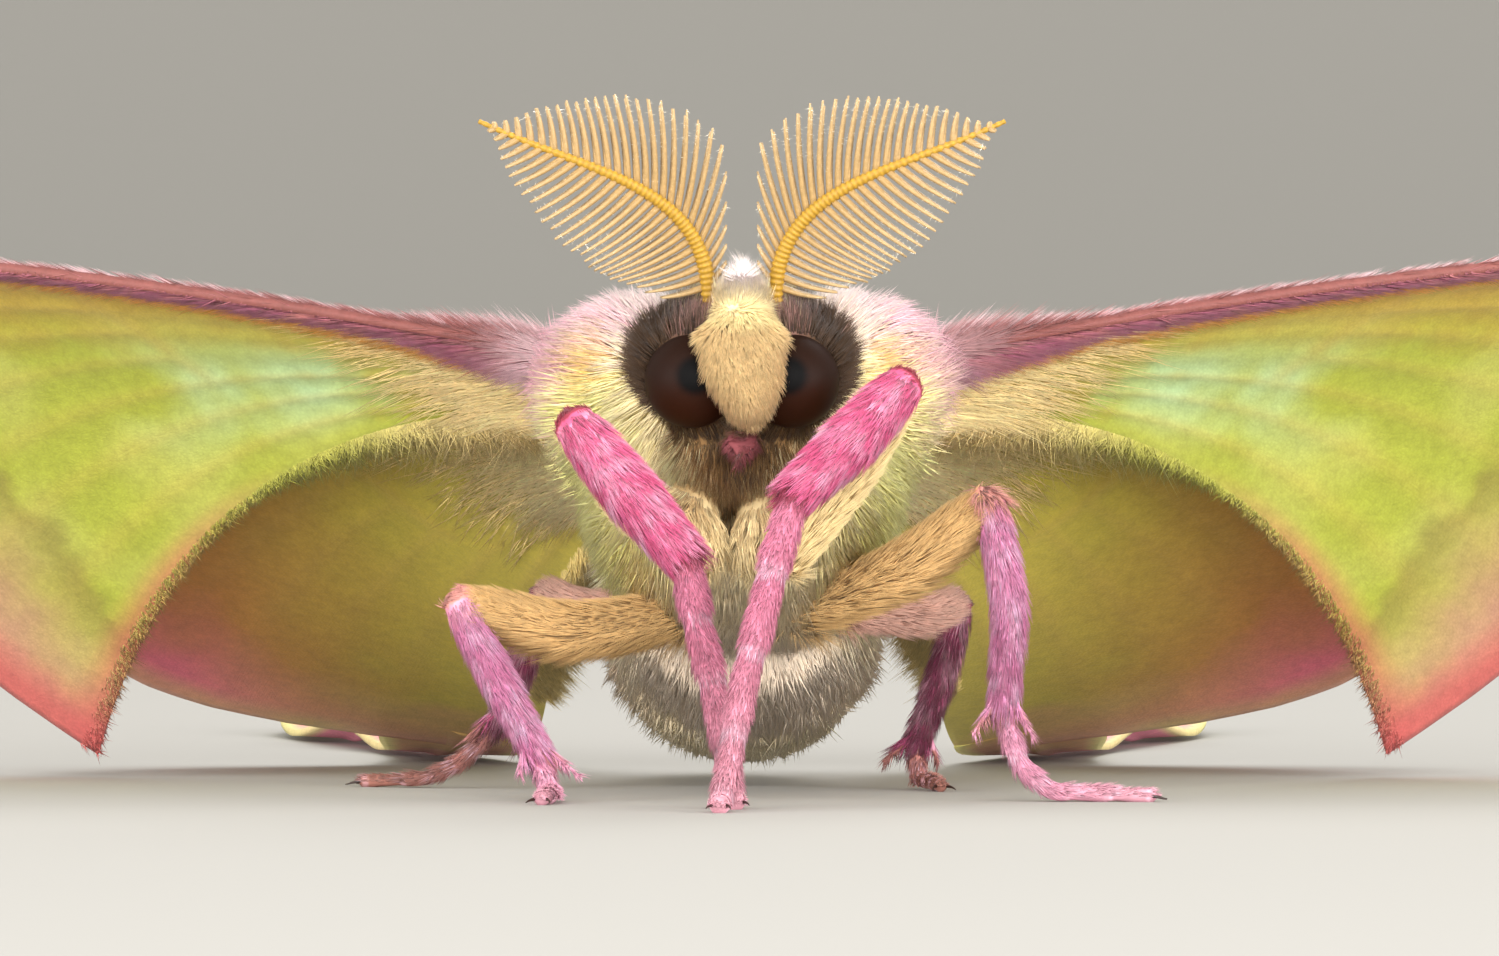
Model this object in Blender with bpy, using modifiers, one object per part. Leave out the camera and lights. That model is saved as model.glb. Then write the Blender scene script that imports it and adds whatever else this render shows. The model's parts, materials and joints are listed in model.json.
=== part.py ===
"""Chinese moon moth (Actias dubernardi), a male that stands with its wings spread, life size.

X runs to the moth's left, the moth faces -Y and Z is up, in metres. Every place is written in
the moth's own frame, whose Z is 0 at the floor, and one empty then carries the whole moth so
that its bounding box stands centred on the world's origin.
"""

import math
import random

import bmesh
import bpy
from mathutils import Matrix, Vector
from mathutils.bvhtree import BVHTree

MM = 0.001
SOLVER = "MANIFOLD"
GAP = 0.3 * MM  # air between neighbours
SIDES = (("left", 1.0), ("right", -1.0))

# Body, with the outline of its coat
THORAX_CENTRE = (0.0, 0.0, 10.2)
THORAX_RADII = (5.1, 5.9, 5.0)
BODY_PITCH = math.radians(34.0)
THORAX_LOCKS = ((42.0, 10), (70.0, 14), (98.0, 14))  # angle from the nose, and count
SHOULDER_CENTRE = (3.1, 0.9, 12.9)
SHOULDER_RADII = (2.6, 3.6, 3.1)
SHOULDER_LOCKS = ((40.0, 5), (75.0, 5))  # angle from the front, and count over the top
LOCK_ARC = math.radians(40.0)
LOCK_WIDTH = 2.2
LOCK_THICK = 0.6
LOCK_LIFTS = (-1.0, 0.1, 0.7, 0.95)  # of a lock's middle line off the body, root to tip
LOCK_SHARES = (1.0, 0.8, 0.65, 0.5, 0.4)  # of the full size, tried where a neighbour is near
HEAD_FORMS = (  # centre and radii of the head, the chin and the shield between the eyes
    ((0.0, -6.6, 14.1), (3.5, 2.2, 2.8)), ((0.0, -5.6, 11.4), (2.5, 2.3, 2.0)),
    ((0.0, -9.0, 14.5), (1.75, 1.15, 1.45)), ((0.25, -9.1, 13.2), (1.1, 1.0, 1.6)))
EYE_CENTRE = (1.62, -7.9, 13.5)
EYE_RADIUS = 1.5
SHIELD_FRONT = -10.3
SHIELD_LOCKS = (  # x, and z of the root and the tip
    (-1.0, 15.3, 13.8), (1.0, 15.3, 13.8), (0.0, 15.0, 13.4), (-0.6, 14.1, 12.6),
    (0.75, 14.1, 12.6), (0.3, 13.4, 11.8))
CROWN_LOCKS = ((0.42, 17.6), (1.7, 16.9))  # x and z of the tip
ABDOMEN_LINE = ((0.0, 2.2, 7.6), (0.0, 7.0, 5.0), (0.0, 14.0, 5.4), (0.0, 23.0, 3.0))
ABDOMEN_RADIUS = 5.3
ABDOMEN_WAIST = 0.62  # of that radius, where the abdomen meets the thorax
ABDOMEN_SEGMENTS = 7
SEGMENT_STEP = 0.3  # how far a segment's rear edge stands over the next one

# Feelers
ANTENNA_SHAFT = ((1.05, -7.7, 15.9), (1.0, -8.5, 19.8), (4.6, -9.6, 20.0), (8.4, -8.6, 21.8))
ANTENNA_RADIUS = 0.26
BRANCH_LENGTH = 3.0
BRANCH_COUNT = 11  # on each side of a feeler
BRANCH_FULLEST = 0.625  # exponent that sets the longest branch a third of the way up
BRANCH_RADIUS = 0.24
BRANCH_LEAN = math.radians(24.0)  # towards the feeler's tip
PALP = ((0.56, -7.2, 11.4), (0.58, -8.8, 11.25), (0.42, -9.7, 10.85))
PALP_RADII = (0.4, 0.4, 0.25)

# Wings: bezier edges from the root, and the rim between their ends
MEMBRANE = 0.5
VEIN = 0.95
VEIN_STEP = 2  # columns of the sheet from one vein to the next
CELL_END = 0.45  # where the closed cell of a wing ends, along its rays
FORE_COSTA = ((2.6, 0.6, 13.9), (20.0, 1.2, 16.9), (33.0, 6.0, 19.6), (44.0, 13.0, 17.2))
FORE_REAR = ((2.8, 4.0, 11.9), (11.9, 2.4, 14.2), (19.4, 10.5, 10.2), (22.4, 17.5, 0.8))
FORE_RIM = ((44.0, 13.0, 17.2), (37.0, 17.0, 12.4), (30.5, 18.5, 4.6), (22.4, 17.5, 0.8))
HIND_COSTA = ((2.8, 4.6, 11.2), (11.2, 6.9, 15.8), (20.6, 13.2, 13.6), (23.5, 22.0, 5.5))
HIND_REAR = ((2.4, 4.2, 9.4), (7.2, 10.2, 9.0), (6.1, 22.0, 2.0), (8.0, 34.0, 0.3))
HIND_RIM = ((23.5, 22.0, 5.5), (23.5, 31.0, 0.8), (13.5, 28.0, 0.3), (8.0, 34.0, 0.3))
TAIL_START = 0.72  # where on the hind rim the tail begins
TAIL_LINE = ((10.8, 32.6, 0.3), (10.5, 46.0, 0.3), (19.0, 62.0, 0.3), (16.0, 81.0, 0.3))
TAIL_WIDTHS = (7.0, 4.6, 3.7, 3.2, 3.0, 2.9, 2.9, 3.0, 3.3, 3.8, 4.2, 4.2, 3.4, 1.2)
TAIL_THICK = 0.6

# Legs: places of the joints, then the radii along each stretch
LEGS = {
    "fore_left": {
        "coxa": ((1.25, -4.4, 9.9), (1.25, -6.6, 9.3), (1.1, -7.7, 8.2)),
        "femur": ((1.3, -7.7, 7.6), (3.3, -8.6, 10.3), (5.2, -9.5, 13.4)),
        "tibia": ((5.2, -9.5, 13.4), (3.5, -11.2, 11.6), (1.7, -12.5, 9.9)),
        "tarsus": ((1.7, -12.5, 9.9), (1.05, -13.4, 7.8), (0.5, -14.2, 5.6), (0.0, -14.8, 3.7),
                   (-0.38, -15.4, 1.5), (-0.63, -16.2, 0.25), (-0.7, -17.2, 0.2))},
    "fore_right": {
        "coxa": ((-1.25, -4.4, 9.9), (-1.25, -6.6, 9.3), (-1.1, -7.7, 8.2)),
        "femur": ((-1.3, -7.7, 7.6), (-3.5, -8.6, 9.5), (-5.4, -9.5, 12.2)),
        "tibia": ((-5.4, -9.5, 12.2), (-3.6, -10.9, 10.0), (-1.8, -12.0, 7.9)),
        "tarsus": ((-1.8, -12.0, 7.9), (-1.4, -12.4, 5.9), (-0.95, -12.6, 4.0),
                   (-0.5, -12.8, 1.8), (-0.3, -13.4, 0.25), (-0.2, -14.2, 0.2))},
    "mid_left": {
        "femur": ((1.8, -1.0, 6.0), (5.2, -4.2, 7.4), (8.0, -5.5, 9.7)),
        "tibia": ((8.0, -5.5, 9.7), (8.65, -6.3, 6.4), (8.4, -6.5, 2.8)),
        "tarsus": ((8.4, -6.5, 2.8), (8.9, -6.8, 1.2), (9.9, -7.0, 0.3), (11.6, -7.1, 0.25),
                   (13.2, -7.2, 0.2))},
    "mid_right": {
        "femur": ((-1.8, -1.0, 6.0), (-5.6, -3.8, 5.4), (-9.2, -5.0, 6.4)),
        "tibia": ((-9.2, -5.0, 6.4), (-7.9, -5.8, 3.9), (-6.5, -6.5, 1.4)),
        "tarsus": ((-6.5, -6.5, 1.4), (-6.2, -7.2, 0.35), (-6.1, -8.8, 0.25),
                   (-6.4, -10.2, 0.2))},
    "hind_left": {
        "femur": ((3.4, 1.0, 6.0), (5.8, 1.8, 5.8), (7.2, 2.7, 6.3)),
        "tibia": ((7.2, 2.7, 6.3), (6.7, 4.0, 4.0), (5.8, 5.6, 1.4)),
        "tarsus": ((5.8, 5.6, 1.4), (5.9, 5.2, 0.35), (6.3, 3.8, 0.25), (6.6, 2.4, 0.2))},
    "hind_right": {
        "femur": ((-3.4, 1.0, 6.0), (-5.2, 1.9, 6.0), (-6.6, 2.9, 6.6)),
        "tibia": ((-6.6, 2.9, 6.6), (-7.3, 3.9, 4.4), (-8.1, 5.0, 2.2)),
        "tarsus": ((-8.1, 5.0, 2.2), (-9.4, 5.8, 0.9), (-10.6, 6.4, 0.3), (-12.8, 7.5, 0.2))},
}
LEG_RADII = {
    "fore": {"coxa": (1.1, 1.1, 0.85), "femur": (0.7, 0.8, 0.65), "tibia": (0.8, 0.9, 0.65),
             "tarsus": (0.6, 0.3)},
    "mid": {"femur": (0.8, 0.95, 0.7), "tibia": (0.6, 0.6, 0.5), "tarsus": (0.42, 0.28)},
    "hind": {"femur": (0.7, 0.75, 0.6), "tibia": (0.55, 0.55, 0.45), "tarsus": (0.38, 0.28)},
}
LEG_COLOURS = {"coxa": (0.8, 0.7, 0.5), "femur": (0.4, 0.2, 0.15), "tibia": (0.7, 0.15, 0.3),
               "tarsus": (0.6, 0.25, 0.3)}
TARSUS_JOINTS = 5
JOINT_FLARE = 1.25  # a foot joint's outer end over its inner one
CLAW = (0.55, 0.13)  # length and thickness at the root
SPUR = (1.3, 0.2)


def at(place):
    """A place in millimetres as a vector in metres."""
    return Vector(place) * MM


def mirrored(places, sign):
    """The places of a left piece, or of its right twin."""
    return [(sign * x, y, z) for x, y, z in places]


def bezier(points, t):
    """The place at t from 0 to 1 along a cubic bezier."""
    a, b, c, d = (Vector(point) for point in points)
    s = 1.0 - t
    return a * s ** 3 + b * (3 * s * s * t) + c * (3 * s * t * t) + d * t ** 3


def material(name, colour, roughness):
    """A plain Principled material."""
    made = bpy.data.materials.new(name)
    made.use_nodes = True
    shader = made.node_tree.nodes["Principled BSDF"]
    shader.inputs["Base Color"].default_value = (*colour, 1.0)
    shader.inputs["Roughness"].default_value = roughness
    shader.inputs["Metallic"].default_value = 0.0
    return made


def add_object(name, bm):
    """A mesh object in the parts' collection from a bmesh, with its faces pointing out."""
    bmesh.ops.recalc_face_normals(bm, faces=bm.faces)
    mesh = bpy.data.meshes.new(name)
    bm.to_mesh(mesh)
    bm.free()
    obj = bpy.data.objects.new(name, mesh)
    PARTS.objects.link(obj)
    return obj


def evaluated_mesh(obj):
    """The object's mesh with its modifiers in it."""
    bpy.context.view_layer.update()
    return bpy.data.meshes.new_from_object(
        obj.evaluated_get(bpy.context.evaluated_depsgraph_get()))


def apply_modifiers(obj):
    """Put the object's modifiers into its mesh."""
    mesh = evaluated_mesh(obj)
    obj.modifiers.clear()
    obj.data = mesh


def keep_largest(obj):
    """Keep the object's largest closed surface."""
    bm = bmesh.new()
    bm.from_mesh(obj.data)
    left = set(bm.faces)
    groups = []
    while left:
        stack = [left.pop()]
        group = set(stack)
        while stack:
            for edge in stack.pop().edges:
                for face in edge.link_faces:
                    if face in left:
                        left.discard(face)
                        group.add(face)
                        stack.append(face)
        groups.append(group)
    largest = max(groups, key=lambda group: sum(face.calc_area() for face in group), default=None)
    loose = [face for group in groups if group is not largest for face in group]
    bmesh.ops.delete(bm, geom=loose, context="FACES")
    bm.to_mesh(obj.data)
    bm.free()


def rest_on_floor(obj):
    """Flatten what lies under the floor up to it."""
    for vertex in obj.data.vertices:
        vertex.co.z = max(vertex.co.z, 0.0)


def grown(obj, distance):
    """A copy of the object, swollen along its normals, that cuts its neighbours."""
    bm = bmesh.new()
    bm.from_mesh(obj.data)
    bm.normal_update()
    shifts = [vertex.normal * distance * vertex.calc_shell_factor() for vertex in bm.verts]
    for vertex, shift in zip(bm.verts, shifts):
        vertex.co += shift
    copy = add_object(obj.name + "_cutter", bm)
    PARTS.objects.unlink(copy)
    CUTTERS.objects.link(copy)
    copy.hide_render = True
    copy.display_type = "WIRE"
    return copy


def fuse(obj, pieces):
    """Join the pieces to the object as one closed body."""
    group = bpy.data.collections.new("pieces")
    bpy.context.scene.collection.children.link(group)
    for piece in pieces:
        PARTS.objects.unlink(piece)
        group.objects.link(piece)
    union = obj.modifiers.new("Union", "BOOLEAN")
    union.operation = "UNION"
    union.solver = "MANIFOLD"
    union.operand_type = "COLLECTION"
    union.collection = group
    apply_modifiers(obj)
    for piece in pieces:
        bpy.data.objects.remove(piece)
    bpy.data.collections.remove(group)
    keep_largest(obj)


def surface_tree(obj):
    """The object's faces, ready for tests against another's."""
    bm = bmesh.new()
    bm.from_mesh(obj.data)
    tree = BVHTree.FromBMesh(bm)
    bm.free()
    return tree


def cut_by(obj, cutter):
    """Take the cutter's space out of the object and remove the cutter."""
    cut = obj.modifiers.new("Part", "BOOLEAN")
    cut.operation = "DIFFERENCE"
    cut.solver = SOLVER
    cut.object = cutter
    apply_modifiers(obj)
    bpy.data.objects.remove(cutter)
    keep_largest(obj)


def part_from(obj, neighbour):
    """Cut the object back to a gap from its neighbour."""
    cut_by(obj, grown(neighbour, GAP))


def ball(name, centre, radii, pitch=0.0, segments=24, rings=14):
    """An ellipsoid, its nose raised by the pitch."""
    bm = bmesh.new()
    bmesh.ops.create_uvsphere(bm, u_segments=segments, v_segments=rings, radius=1.0)
    turn = Matrix.Rotation(-pitch, 4, "X")
    size = Matrix.Diagonal((*at(radii), 1.0))
    bmesh.ops.transform(bm, matrix=Matrix.Translation(at(centre)) @ turn @ size, verts=bm.verts)
    return add_object(name, bm)


def tube(name, places, radii, resolution=2):
    """A round bar through the places, with its own radius at each."""
    curve = bpy.data.curves.new(name, "CURVE")
    curve.dimensions = "3D"
    curve.bevel_depth = MM
    curve.bevel_resolution = resolution
    curve.use_fill_caps = True
    spline = curve.splines.new("POLY")
    spline.points.add(len(places) - 1)
    for point, place, radius in zip(spline.points, places, radii):
        point.co = (*at(place), 1.0)
        point.radius = radius
    guide = bpy.data.objects.new(name + "_curve", curve)
    PARTS.objects.link(guide)
    mesh = evaluated_mesh(guide)
    bpy.data.objects.remove(guide)
    bm = bmesh.new()
    bm.from_mesh(mesh)
    bmesh.ops.remove_doubles(bm, verts=bm.verts, dist=0.001 * MM)
    return add_object(name, bm)


def vane(name, columns, rows, place, thickness, ridge=None):
    """A thin sheet, place(along, across), with ridges raised where ridge(row, column) says."""
    bm = bmesh.new()
    bmesh.ops.create_grid(bm, x_segments=columns, y_segments=rows, size=1.0)
    layer = bm.verts.layers.deform.verify()
    for vertex in bm.verts:
        across = (vertex.co.x + 1.0) / 2.0
        along = (vertex.co.y + 1.0) / 2.0
        if ridge:
            vertex[layer][0] = ridge(round(along * rows), round(across * columns), rows)
        vertex.co = at(place(along, across))
    bmesh.ops.triangulate(bm, faces=bm.faces, quad_method="FIXED")
    sheet = add_object(name, bm)
    sheet.vertex_groups.new(name="Veins")
    solid = sheet.modifiers.new("Thickness", "SOLIDIFY")
    solid.offset = 0.0
    solid.thickness = thickness * MM
    if ridge:
        solid.thickness = VEIN * MM
        solid.vertex_group = "Veins"
        solid.thickness_vertex_group = thickness / VEIN
    apply_modifiers(sheet)
    return sheet


def lock(name, line, width, thick, facing):
    """A flat, tapered lock along a bezier, its flat side towards the facing direction."""
    def place(along, across):
        ahead = bezier(line, along + 0.02) - bezier(line, along - 0.02)
        sideways = ahead.cross(Vector(facing)).normalized()
        taper = 0.2 + 0.8 * math.sin(math.pi * (0.2 + 0.8 * along))
        return bezier(line, along) + sideways * (width * taper * (across - 0.5))

    return vane(name, 1, 3, place, thick)


def clear_lock(name, line_of, width, thick, facing, keep_out):
    """The largest lock of line_of(share of its length) that stays clear, or none."""
    for share in LOCK_SHARES:
        piece = lock(name, line_of(share), width * share, thick, facing)
        tree = surface_tree(piece)
        if not any(tree.overlap(other) for other in keep_out):
            return [piece]
        bpy.data.objects.remove(piece)
    return []


def grown_trees(objects):
    """Surfaces a gap off the objects, which locks keep clear of."""
    trees = []
    for obj in objects:
        cutter = grown(obj, GAP)
        trees.append(surface_tree(cutter))
        bpy.data.objects.remove(cutter)
    return trees


def vein_ridges(veins, cell):
    """Ridges of a wing: every vein outside the closed cell, and the cell's own frame."""
    def ridge(row, column, rows):
        vein, between = divmod(column, VEIN_STEP)
        end = round(CELL_END * rows)
        if row == end and cell[0] <= column / VEIN_STEP <= cell[1]:
            return 0.7
        inside = cell[0] < vein < cell[1]
        raised = between == 0 and vein < veins and not (inside and row < end)
        return 1.0 - 0.5 * row / rows if raised else 0.0

    return ridge


def fan(front, rear, rim, camber):
    """A wing's surface: rays from the root between two edges, out to the rim."""
    ends = Vector(front[3]), Vector(rear[3])

    def place(along, across):
        ray = bezier(front, along).lerp(bezier(rear, along), across)
        reach = bezier(rim, across) - ends[0].lerp(ends[1], across)
        arch = Vector((0.0, 0.6, 0.8)) * (camber * 4.0 * across * (1.0 - across) * along)
        return ray + reach * along + arch

    return place


def make_thorax():
    """The thorax and shoulders without their coat, which their neighbours are parted from."""
    made = ball("thorax", THORAX_CENTRE, THORAX_RADII, BODY_PITCH, 20, 12)
    fuse(made, [ball("shoulder_" + side, mirrored([SHOULDER_CENTRE], sign)[0], SHOULDER_RADII,
                     BODY_PITCH, 16, 10) for side, sign in SIDES])
    return made


def body_spot(centre, radii, polar, around, lift):
    """A place off a bare form, at an angle from its nose and one round its axis."""
    turn = Matrix.Rotation(-BODY_PITCH, 3, "X")
    ray = Vector((math.sin(polar) * math.cos(around), -math.cos(polar),
                  math.sin(polar) * math.sin(around)))
    out = turn @ Vector(v / r for r, v in zip(radii, ray))
    return (Vector(centre) + turn @ Vector(r * v for r, v in zip(radii, ray))
            + out.normalized() * lift)


def lock_rows(name, form, rows, span, start, draw, keep_out):
    """Rows of locks that lie back over one another round a form, clear of its neighbours."""
    locks = []
    for row, (degrees, count) in enumerate(rows):
        for i in range(count):
            around = start + span * (i + 0.5 * (row % 2)) / count + draw.uniform(-0.06, 0.06)
            arc = LOCK_ARC * draw.uniform(0.9, 1.1)

            def line_of(share):
                polars = [math.radians(degrees) + arc * share * step for step in (0, 0.35, 0.7, 1)]
                return [body_spot(*form, polar, around, lift)
                        for polar, lift in zip(polars, LOCK_LIFTS)]

            facing = body_spot(*form, math.radians(degrees), around, 1.0) - Vector(form[0])
            locks += clear_lock(f"{name}_{row}_{i}", line_of, LOCK_WIDTH, LOCK_THICK, facing,
                                keep_out)
    return locks


def coat_thorax(thorax, neighbours):
    """The locks round the thorax and over both shoulders."""
    draw = random.Random(5)
    keep_out = grown_trees(neighbours)
    locks = lock_rows("thorax_lock", (THORAX_CENTRE, THORAX_RADII), THORAX_LOCKS,
                      2.0 * math.pi, 0.0, draw, keep_out)
    for side, sign in SIDES:
        form = (mirrored([SHOULDER_CENTRE], sign)[0], SHOULDER_RADII)
        start = -0.1 * math.pi if sign > 0 else 0.4 * math.pi
        locks += lock_rows("shoulder_lock_" + side, form, SHOULDER_LOCKS, 0.75 * math.pi, start,
                           draw, keep_out)
    fuse(thorax, locks)


def make_head():
    """The head with its chin and shield, which its neighbours are parted from."""
    made, *others = [ball(f"head_{i}", *form, 0.0, 16, 10) for i, form in enumerate(HEAD_FORMS)]
    made.name = "head"
    fuse(made, others)
    return made


def coat_head(head, neighbours):
    """Locks over the shield between the eyes and on the crown, clear of the neighbours."""
    keep_out = grown_trees(neighbours)
    locks = []
    for i, (x, top, low) in enumerate(SHIELD_LOCKS):
        def shield_line(share):
            root = Vector((x, SHIELD_FRONT + 0.8, top))
            tip = Vector((x, SHIELD_FRONT, top + (low - top) * share))
            return root, root + Vector((0.0, -0.8, 0.1)), tip + Vector((0.0, -0.1, 0.6)), tip

        locks += clear_lock(f"shield_lock_{i}", shield_line, 1.0, 0.45, (0.0, -1.0, 0.1), keep_out)
    for side, sign in SIDES:
        for i, (x, z) in enumerate(CROWN_LOCKS):
            def crown_line(share):
                root = Vector((sign * 0.8 * x, -7.2, 15.8))
                tip = root.lerp(Vector((sign * x, -6.7, z)), share)
                return root, root + Vector((0.0, -0.6, 0.7)), tip + Vector((0.0, -0.5, -0.5)), tip

            locks += clear_lock(f"crown_{side}_{i}", crown_line, 0.9, 0.5, (0.0, -0.8, 0.6),
                                keep_out)
    fuse(head, locks)


def make_abdomen(name, swell=0.0):
    """The abdomen, each segment's rear edge standing over the next."""
    places = []
    radii = []
    for segment in range(ABDOMEN_SEGMENTS):
        for part, step in ((0.0, 0.0), (0.85, SEGMENT_STEP)):
            t = (segment + part) / ABDOMEN_SEGMENTS
            places.append(bezier(ABDOMEN_LINE, t))
            waist = 1.0 - (1.0 - ABDOMEN_WAIST) * max(0.0, 1.0 - t / 0.35) ** 2
            radii.append(ABDOMEN_RADIUS * waist * (1.0 - t ** 3.2) ** 0.62 + step - 0.15 + swell)
    places.append(bezier(ABDOMEN_LINE, 1.0))
    radii.append(0.6 + swell)
    return tube(name, places, radii, 4)


def make_shaft(side, sign):
    """The tapered shaft of a feeler."""
    shaft = mirrored(ANTENNA_SHAFT, sign)
    steps = 9
    return tube("antenna_" + side, [bezier(shaft, i / steps) for i in range(steps + 1)],
                [ANTENNA_RADIUS * (1.0 - 0.35 * i / steps) for i in range(steps + 1)], 1)


def add_branches(antenna, side, sign):
    """A row of branches on each side of a feeler's shaft."""
    shaft = mirrored(ANTENNA_SHAFT, sign)
    branches = []
    for i in range(BRANCH_COUNT):
        along = 0.12 + 0.81 * i / (BRANCH_COUNT - 1)
        root = bezier(shaft, along)
        ahead = (bezier(shaft, along + 0.01) - bezier(shaft, along - 0.01)).normalized()
        reach = BRANCH_LENGTH * math.sin(math.pi * along ** BRANCH_FULLEST)
        for turn in (1.0, -1.0):
            sideways = ahead.cross(Vector((0.0, turn, 0.0))).normalized()
            out = sideways * math.cos(BRANCH_LEAN) + ahead * math.sin(BRANCH_LEAN)
            line = [root, root + out * (0.55 * reach), root + out * reach + ahead * 0.2]
            for spot in line:
                spot.x = sign * max(sign * spot.x, 0.45)
            radii = (BRANCH_RADIUS, 0.9 * BRANCH_RADIUS, 0.45 * BRANCH_RADIUS)
            branches.append(tube(f"branch_{side}_{i}_{turn:.0f}", line, radii, 0))
    fuse(antenna, branches)


def make_forewing(side, sign):
    edges = [mirrored(edge, sign) for edge in (FORE_COSTA, FORE_REAR, FORE_RIM)]
    ridges = vein_ridges(8, (1, 5))
    return vane("forewing_" + side, 16, 10, fan(*edges, 1.2), MEMBRANE, ridges)


def make_hindwing(side, sign):
    edges = [mirrored(edge, sign) for edge in (HIND_COSTA, HIND_REAR, HIND_RIM)]
    ridges = vein_ridges(7, (1, 4))
    return vane("hindwing_" + side, 14, 9, fan(*edges, 1.0), MEMBRANE, ridges)


def make_tail(side, sign):
    rim = mirrored(HIND_RIM, sign)
    line = mirrored(TAIL_LINE, sign)
    rows = len(TAIL_WIDTHS) - 1

    def place(along, across):
        if along < 0.01:
            edge = bezier(rim, TAIL_START + (1.0 - TAIL_START) * across)
            return edge + Vector((0.2 * sign, 0.45, 0.0))
        ahead = (bezier(line, along + 0.01) - bezier(line, along - 0.01)).normalized()
        sideways = Vector((ahead.y, -ahead.x, 0.0)) * sign
        half = 0.5 * TAIL_WIDTHS[round(along * rows)]
        return bezier(line, along) + sideways * half * (1.0 - 2.0 * across)

    return vane("tail_" + side, 2, rows, place, TAIL_THICK)


def along_line(places, t):
    """The place at t from 0 to 1 along straight runs between the places."""
    spot = t * (len(places) - 1)
    i = min(int(spot), len(places) - 2)
    return Vector(places[i]).lerp(Vector(places[i + 1]), spot - i)


def make_tarsus(name, places, thick, tibia):
    """A foot: joints that flare towards their outer ends, and a pair of claws."""
    line = []
    radii = []
    for joint in range(TARSUS_JOINTS):
        for part, flare in ((0.06, 1.0), (0.94, JOINT_FLARE)):
            t = (joint + part) / TARSUS_JOINTS
            line.append(along_line(places, t))
            radii.append((thick[0] + (thick[1] - thick[0]) * t) * flare / JOINT_FLARE)
    tarsus = tube(name, line, radii, 1)
    part_from(tarsus, tibia)
    tip = line[-1]
    ahead = (tip - line[-2]).normalized()
    sideways = ahead.cross(Vector((0.0, 0.0, 1.0))).normalized()
    length, root = CLAW
    claws = []
    for turn in (1.0, -1.0):
        out = sideways * turn
        bend = tip + out * 0.16 + ahead * (0.4 * length)
        end = tip + out * 0.3 + ahead * length - Vector((0.0, 0.0, 0.1))
        claws.append(tube(f"{name}_claw_{turn:.0f}", (tip - ahead * 0.25, bend, end),
                          (root, root, 0.4 * root), 0))
    fuse(tarsus, claws)
    return tarsus


def add_spurs(tibia, places):
    """A pair of spurs at the end of a shin."""
    end = Vector(places[-1])
    ahead = (end - Vector(places[-2])).normalized()
    length, root = SPUR
    spurs = []
    for turn in (1.0, -1.0):
        out = Vector((turn, -0.5, 0.0)).normalized()
        start = end - ahead * 0.6 + out * 0.2
        tip = start + ahead * length + out * 1.1
        spurs.append(tube(f"{tibia.name}_spur_{turn:.0f}", (start, start.lerp(tip, 0.55), tip),
                          (root, root, 0.4 * root), 0))
    fuse(tibia, spurs)


def make_leg(leg):
    """The three stretches of a leg, from the body out."""
    places = LEGS[leg]
    pair = leg.split("_")[0]
    radii = LEG_RADII[pair]
    pieces = []
    femur = tube(leg + "_femur", places["femur"], radii["femur"])
    if "coxa" in places:
        coxa = tube(leg + "_coxa", places["coxa"], radii["coxa"])
        part_from(coxa, thorax)
        part_from(coxa, head)
        part_from(femur, coxa)
        pieces.append(coxa)
    else:
        part_from(femur, thorax)
        cut_by(femur, make_abdomen("abdomen_cutter", GAP / MM))
    tibia = tube(leg + "_tibia", places["tibia"], radii["tibia"])
    part_from(tibia, femur)
    tarsus = make_tarsus(leg + "_tarsus", places["tarsus"], radii["tarsus"], tibia)
    if pair != "fore":
        add_spurs(tibia, places["tibia"])
    return pieces + [femur, tibia, tarsus]


def finish(obj, colour, roughness=0.85):
    """Settle a node: flat where it meets the floor, smooth shaded, with its own material."""
    rest_on_floor(obj)
    obj.data.shade_smooth()
    obj.data.materials.clear()
    obj.data.materials.append(material(obj.name, colour, roughness))
    obj.parent = MOTH


def stand_on_origin():
    """Carry the moth so that its bounding box stands centred on the origin."""
    corners = [vertex.co for obj in MOTH.children for vertex in obj.data.vertices]
    low = Vector(min(corner[axis] for corner in corners) for axis in range(3))
    high = Vector(max(corner[axis] for corner in corners) for axis in range(3))
    MOTH.location = (-0.5 * (low.x + high.x), -0.5 * (low.y + high.y), -low.z)


for old in list(bpy.data.objects):
    bpy.data.objects.remove(old)
PARTS = bpy.data.collections.new("moon_moth")
CUTTERS = bpy.data.collections.new("cutters")
bpy.context.scene.collection.children.link(PARTS)
bpy.context.scene.collection.children.link(CUTTERS)
MOTH = bpy.data.objects.new("moth", None)
PARTS.objects.link(MOTH)

thorax = make_thorax()
abdomen = make_abdomen("abdomen")
part_from(abdomen, thorax)
finish(abdomen, (0.8, 0.7, 0.5))
neighbours = [abdomen]

head = make_head()
part_from(head, thorax)
on_head = []
for side, sign in SIDES:
    centre = mirrored([EYE_CENTRE], sign)[0]
    eye = ball("eye_" + side, centre, (EYE_RADIUS,) * 3, 0.0, 14, 9)
    part_from(head, eye)
    palp = tube("palp_" + side, mirrored(PALP, sign), PALP_RADII)
    shaft = make_shaft(side, sign)
    part_from(palp, eye)
    for piece in (palp, shaft):
        part_from(piece, head)
    on_head += [eye, palp, shaft]
    finish(eye, (0.07, 0.03, 0.02), 0.25)
    finish(palp, (0.7, 0.25, 0.3))
coat_head(head, on_head)
finish(head, (0.8, 0.75, 0.65))
for side, sign in SIDES:
    antenna = bpy.data.objects["antenna_" + side]
    add_branches(antenna, side, sign)
    finish(antenna, (0.75, 0.5, 0.1))
neighbours.append(head)

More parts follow.
